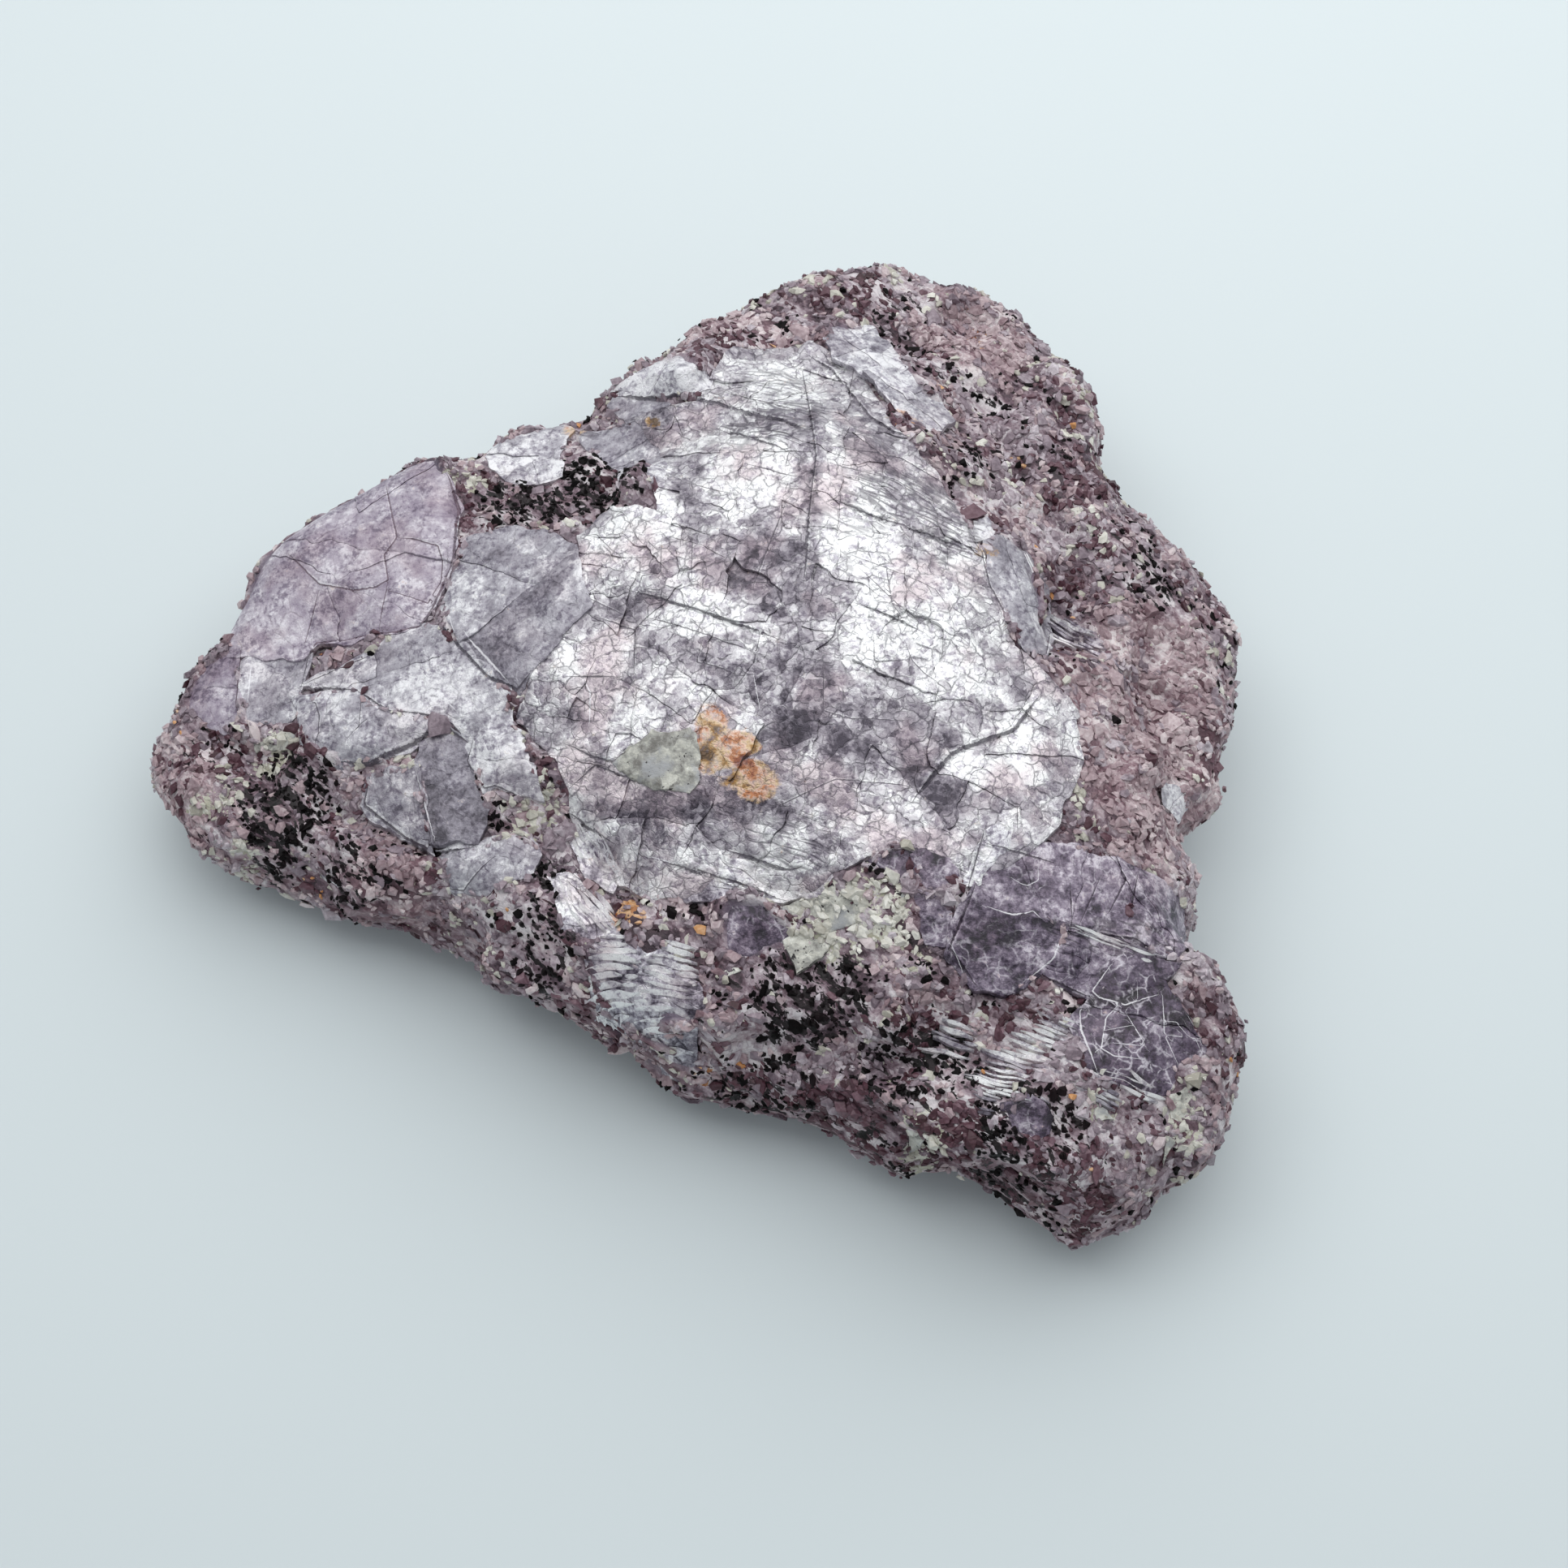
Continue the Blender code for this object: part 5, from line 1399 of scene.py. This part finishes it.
GRAIN_KINDS = [
    GrainKind(Mineral.LILAC, GrainFinish("lilac_lepidolite_grains", "#62535D", "#95868F",
                                         "#CFC6CC", 0.38, 0.08), 0.30, 0.38),
    GrainKind(Mineral.PINK, GrainFinish("pink_lepidolite_grains", "#7A6067", "#AD989D",
                                        "#DACDCE", 0.4), 0.17, 0.38),
    GrainKind(Mineral.PLUM, GrainFinish("plum_lepidolite_grains", "#34191F", "#573842",
                                        "#7C616B", 0.32, 0.08), 0.07, 0.36, 0.7),
    GrainKind(Mineral.BLACK, GrainFinish("biotite_grains", "#060404", "#0C0809", "#20171A",
                                         0.42, 0.0, 0.1), -0.03, 0.25, 0.9),
    GrainKind(Mineral.CREAM, GrainFinish("albite_grains", "#A29D91", "#C4C1B6", "#E6E4DC",
                                         0.42), 0.02, 0.36),
    GrainKind(Mineral.RUST, GrainFinish("rust_stained_grains", "#A25E2C", "#CF9A68",
                                        "#E4C6AC", 0.45), -0.32, 0.3),
]


@dataclass
class GrainCrust:
    """Low grains all over the bare rock, one piece or more for each mineral."""

    count: int = 24000
    most_in_a_piece: int = 9900
    variants: int = 12
    seed: int = 41
    embedded: float = 0.26       # how deep a grain sits, in half lengths
    cluster: float = 0.95        # size of the clusters of one mineral
    band: float = 3.2            # width of the bands in which a mineral is commoner
    streak_turn: float = -42.0   # direction of the rock's streaks
    streak_length: float = 2.4   # how much longer than wide they are
    clustering: float = 0.65     # how strongly neighbours share a mineral
    banding: float = 0.45        # how strongly a mineral keeps to its bands
    luck: float = 0.13           # how often a grain differs from its neighbours
    turn_spread: float = 55.0    # how far grains are turned away from it
    tilt_spread: float = 0.22    # how far they are tilted out of the rock's surface
    size_spread: float = 0.34    # how much they differ in size
    jaggedness: float = 0.21     # how irregular they are
    scatter_spread: float = 0.15     # how far they lie from the middle of the rock's faces
    lowest: float = 0.5          # height below which there are none
    shares: tuple[float, float, float] = (1.0, 0.72, 0.46)  # length, width and thickness

    def build(self, rock: Object) -> list[Object]:
        """Scatter the grains on the rock and make one or more pieces of each mineral."""
        rng = np.random.default_rng(self.seed)
        points, normals = self.scatter(rock.data, rng)
        kind_of = self.choose(points, normals, rng)
        templates = self.templates(rng)
        pieces = []
        for index, kind in enumerate(GRAIN_KINDS):
            chosen = np.flatnonzero(kind_of == index)
            material = kind.finish.make()
            for part, start in enumerate(range(0, len(chosen), self.most_in_a_piece)):
                some = chosen[start:start + self.most_in_a_piece]
                mesh = self.join(points[some], normals[some], kind, templates, rng)
                name = kind.finish.name + (f"_{part + 1}" if part else "")
                pieces.append(add_piece(name, mesh, material))
        return pieces

    def scatter(self, mesh: Mesh, rng: Draws) -> tuple[Array, Array]:
        """Pick places for the grains on the rock, by area, off its sheets and resting face."""
        centres = read(mesh.polygons, "center", 3) / MM
        normals, areas = read(mesh.polygons, "normal", 3), read(mesh.polygons, "area")
        corners = read(mesh.loops, "vertex_index", 1, np.int32).reshape(-1, 3)
        covered = read(mesh.attributes["covered"].data, "value", 1, np.float32)
        bare = (covered[corners].mean(axis=1) < 0.4) & (centres[:, 2] > self.lowest)
        weight = areas * bare * (0.3 + 0.7 * facing_up(normals))
        chosen = rng.choice(len(areas), self.count, p=weight / weight.sum())
        shift = rng.normal(0.0, self.scatter_spread, (self.count, 3))
        return centres[chosen] + shift, normals[chosen]

    def along_streaks(self, points: Array) -> Array:
        """Return coordinates in which clusters are drawn out along the rock's streaks."""
        turn = math.radians(self.streak_turn)
        along = points[:, 0] * math.cos(turn) + points[:, 1] * math.sin(turn)
        across = points[:, 1] * math.cos(turn) - points[:, 0] * math.sin(turn)
        return np.column_stack([along / self.streak_length, across, points[:, 2]])

    def choose(self, points: Array, normals: Array, rng: Draws) -> Array:
        """Choose each grain's mineral, so that neighbours mostly agree."""
        plan = frayed(points, amount=1.0, scale=2.0)
        seen = in_sight(normals)
        drawn_out = self.along_streaks(points)
        scores = rng.normal(0.0, self.luck, (len(points), len(GRAIN_KINDS)))
        for index, kind in enumerate(GRAIN_KINDS):
            near = wobble(drawn_out, self.cluster, 13.0 * index)
            band = wobble(drawn_out, self.band, 5.0 + 13.0 * index)
            scores[:, index] += kind.common + self.clustering * near
            scores[:, index] += self.banding * band
            if kind.mineral in PATCHES:
                scores[:, index] += kind.pull * seen * patch_share(plan, kind.mineral)
        return np.argmax(scores, axis=1)

    def templates(self, rng: Draws) -> tuple[Array, Array]:
        """Return the corners of some irregular grains, and the faces that they all share."""
        grain = bmesh.new()
        bmesh.ops.create_icosphere(grain, subdivisions=1, radius=1.0)
        corners = np.array([vertex.co for vertex in grain.verts])
        faces = np.array([[vertex.index for vertex in face.verts] for face in grain.faces])
        grain.free()
        jitter = rng.normal(0.0, self.jaggedness, (self.variants, len(corners), 3))
        return corners[None] + jitter, faces

    def turns(self, normals: Array, rng: Draws) -> Array:
        """Turn each grain so that it lies on the rock, mostly along its streaks.

        Returns:
            For each grain a matrix whose columns are its length, its width and its thickness.
        """
        turn = np.radians(rng.normal(self.streak_turn, self.turn_spread, len(normals)))
        out = normals + rng.normal(0.0, self.tilt_spread, normals.shape)
        out /= np.linalg.norm(out, axis=1)[:, None]
        along = np.column_stack([np.cos(turn), np.sin(turn), np.zeros(len(turn))])
        across = np.cross(out, along)
        across /= np.linalg.norm(across, axis=1)[:, None]
        return np.stack([np.cross(across, out), across, out], axis=2)

    def join(self, points: Array, normals: Array, kind: GrainKind,
             templates: tuple[Array, Array], rng: Draws) -> Mesh:
        """Join copies of the template grains, turned and sized at random, into one mesh."""
        variants, faces = templates
        count = len(points)
        corners = variants[rng.integers(0, len(variants), count)]
        sizes = kind.size * rng.lognormal(0.0, self.size_spread, count)
        stretch = sizes[:, None] * np.array(self.shares) * rng.uniform(0.85, 1.15, (count, 3))
        turns = self.turns(normals, rng)
        placed = np.einsum("nij,nvj->nvi", turns, corners * stretch[:, None, :])
        placed += (points - normals * (self.embedded * sizes)[:, None])[:, None, :]
        placed[:, :, 2] = np.maximum(placed[:, :, 2], 0.0)
        index = faces[None] + (np.arange(count) * corners.shape[1])[:, None, None]
        mesh = bpy.data.meshes.new(kind.finish.name)
        mesh.from_pydata(placed.reshape(-1, 3) * MM, [], index.reshape(-1, 3))
        mesh.shade_flat()
        drawn_out = self.along_streaks(points)
        shade = 0.5 + 0.35 * wobble(drawn_out, 0.9, 7.0) + 0.5 * wobble(drawn_out, self.band, 91.0)
        shade += rng.normal(0.0, 0.11, count)
        write_attribute(mesh, "tone", np.repeat(np.clip(shade, 0.0, 1.0), corners.shape[1]))
        return mesh


# ---- The studio ---------------------------------------------------------------------------------

@dataclass
class Studio:
    """A pale floor, two large soft lights, an even glow from all around, and the camera."""

    elevation: float = 62.0      # of the camera, in degrees
    distance: float = 215.0      # from the camera to what it looks at
    target: tuple[float, float, float] = (7.4, -6.5, 10.0)
    lens: float = 60.0
    floor_size: float = 3000.0
    daylight: float = 0.47       # strength of the light from all around

    def build(self) -> None:
        """Add the floor, the lights, the world and the camera."""
        self.lay_floor()
        self.add_light("key", azimuth=18.0, elevation=62.0, distance=260.0, size=480.0, power=0.93)
        self.add_light("side", azimuth=-70.0, elevation=50.0, distance=700.0, size=400.0, power=0.4)
        world = bpy.data.worlds.new("studio")
        bpy.context.scene.world = world
        world.use_nodes = True
        background = world.node_tree.nodes["Background"]
        background.inputs["Color"].default_value = linear("#E4EAEE")
        background.inputs["Strength"].default_value = self.daylight
        bpy.context.scene.view_settings.view_transform = "Standard"
        self.add_camera()

    def lay_floor(self) -> None:
        """Lay the floor at the height that the stone rests on."""
        plane = bmesh.new()
        bmesh.ops.create_grid(plane, x_segments=1, y_segments=1, size=self.floor_size / 2.0 * MM)
        floor = linked("floor", made_mesh(plane, "floor"))
        floor.data.materials.append(PaintedBoard().make())

    def add_light(self, name: str, azimuth: float, elevation: float, distance: float,
                  size: float, power: float) -> None:
        """Add a square soft light that faces the stone; azimuth 0 is behind it, to the north."""
        lamp = bpy.data.lights.new(name, "AREA")
        lamp.size, lamp.energy = size * MM, power
        turn, rise = math.radians(azimuth), math.radians(elevation)
        direction = Vector((math.sin(turn) * math.cos(rise), math.cos(turn) * math.cos(rise),
                            math.sin(rise)))
        self.aim(linked(name, lamp), direction, direction * distance)

    def add_camera(self) -> None:
        """Point the camera at the stone from the front and above."""
        lens = bpy.data.cameras.new("camera")
        lens.lens, lens.clip_start = self.lens, 0.01
        camera = linked("camera", lens)
        rise = math.radians(self.elevation)
        direction = Vector((0.0, -math.cos(rise), math.sin(rise)))
        self.aim(camera, direction, Vector(self.target) + direction * self.distance)
        bpy.context.scene.camera = camera

    def aim(self, thing: Object, direction: Vector, place: Vector) -> None:
        """Put a light or a camera at a place in millimetres, looking back along a direction."""
        thing.location = place * MM
        thing.rotation_mode = "QUATERNION"
        thing.rotation_quaternion = direction.to_track_quat("Z", "Y")


# ---- The specimen -------------------------------------------------------------------------------

PEARL = CleavedMica("pearly_lepidolite_cleaved", "#6F6873", "#A9A3AB", "#D4D1D5", "#FFFFFF",
                    "#5C5661", mottle=1.5, facet=0.42, metallic=0.45, vein=0.6,
                    blush=0.55)
SHOULDER = CleavedMica("lavender_lepidolite_cleaved", "#77697C", "#9B8FA0", "#BAB1BD", "#E2DDE4",
                       "#644A58", mottle=1.9, facet=0.08, vein=0.22, vein_spacing=3.2, crease=-0.5,
                       metallic=0.12, roughness=(0.3, 0.6), blush=0.4)
GREY = CleavedMica("grey_lepidolite_cleaved", "#66616C", "#928D98", "#BAB7BF", "#F0EFF2",
                   "#4B434F", mottle=1.8, facet=0.16, vein=0.3, vein_spacing=2.4, crease=-0.2,
                   metallic=0.2, blush=0.2)
PLUM = CleavedMica("plum_lepidolite_cleaved", "#43364A", "#726578", "#9C90A0", "#D4CCD6",
                   "#2E2430", mottle=2.8, facet=0.2, vein=0.25, vein_spacing=2.2, crease=0.3,
                   turn=-15.0, metallic=0.2, net=0.5, cloudy=1.9)
NET = CleavedMica("netted_plum_lepidolite", "#362B39", "#574A5E", "#7C6F81", "#B0A5B3",
                  "#33283A", mottle=2.6, facet=0.16, vein=0.15, crease=0.0, metallic=0.2, net=0.8,
                  cloudy=1.4)
SILVER = CleavedMica("silver_lepidolite_cleaved", "#7C7683", "#B3AFB9", "#E0DEE4", "#FFFFFF",
                     "#4B434F", mottle=2.6, vein=0.35, crease=0.6, metallic=0.45)
BLADES = CleavedMica("mica_book_edges", "#665D69", "#A39BA8", "#DEDADF", "#FFFFFF", "#5A5062",
                     mottle=1.6, facet=0.1, vein=0.1, crease=-0.5, metallic=0.3,
                     roughness=(0.2, 0.4))


def main() -> None:
    """Build the specimen and its studio, and report each piece."""
    logging.basicConfig(level=logging.INFO, format="%(message)s")
    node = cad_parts[NODE]
    ground = Ground(node)
    mosaics = [
        SheetMosaic("pearly_face", PEARL_SHEETS, PEARL, seed=5, overlap=0.0, tilt_spread=0.04,
                    ripple=0.10),
        SheetMosaic("shoulder_plates", SHOULDER_SHEETS, SHOULDER, seed=6, tone_spread=0.06),
        SheetMosaic("grey_plates", GREY_SHEETS, GREY, seed=7),
        SheetMosaic("plum_plates", PLUM_SHEETS, PLUM, seed=8, tone_spread=0.05),
        SheetMosaic("netted_plates", NET_SHEETS, NET, seed=9, tone_spread=0.05),
        SheetMosaic("silver_plates", SILVER_SHEETS, SILVER, seed=10),
        SheetMosaic("albite_masses", ALBITE_MASSES, MassiveAlbite(), seed=11, overlap=0.1,
                    ripple=0.16),
    ]
    cleaved = [sheet for mosaic in mosaics[:-1] for sheet in mosaic.sheets]
    rock = RockBody().build(node, cleaved)
    pieces = [rock] + [mosaic.build(ground) for mosaic in mosaics]
    pieces.append(BookEdges("book_edges", BOOKS, BLADES, seed=12).build(ground))
    pieces += GrainCrust().build(rock)
    for piece in pieces:
        LOG.info("%s: %d faces", piece.name, len(piece.data.polygons))
    Studio().build()


if __name__ == "__main__":
    main()
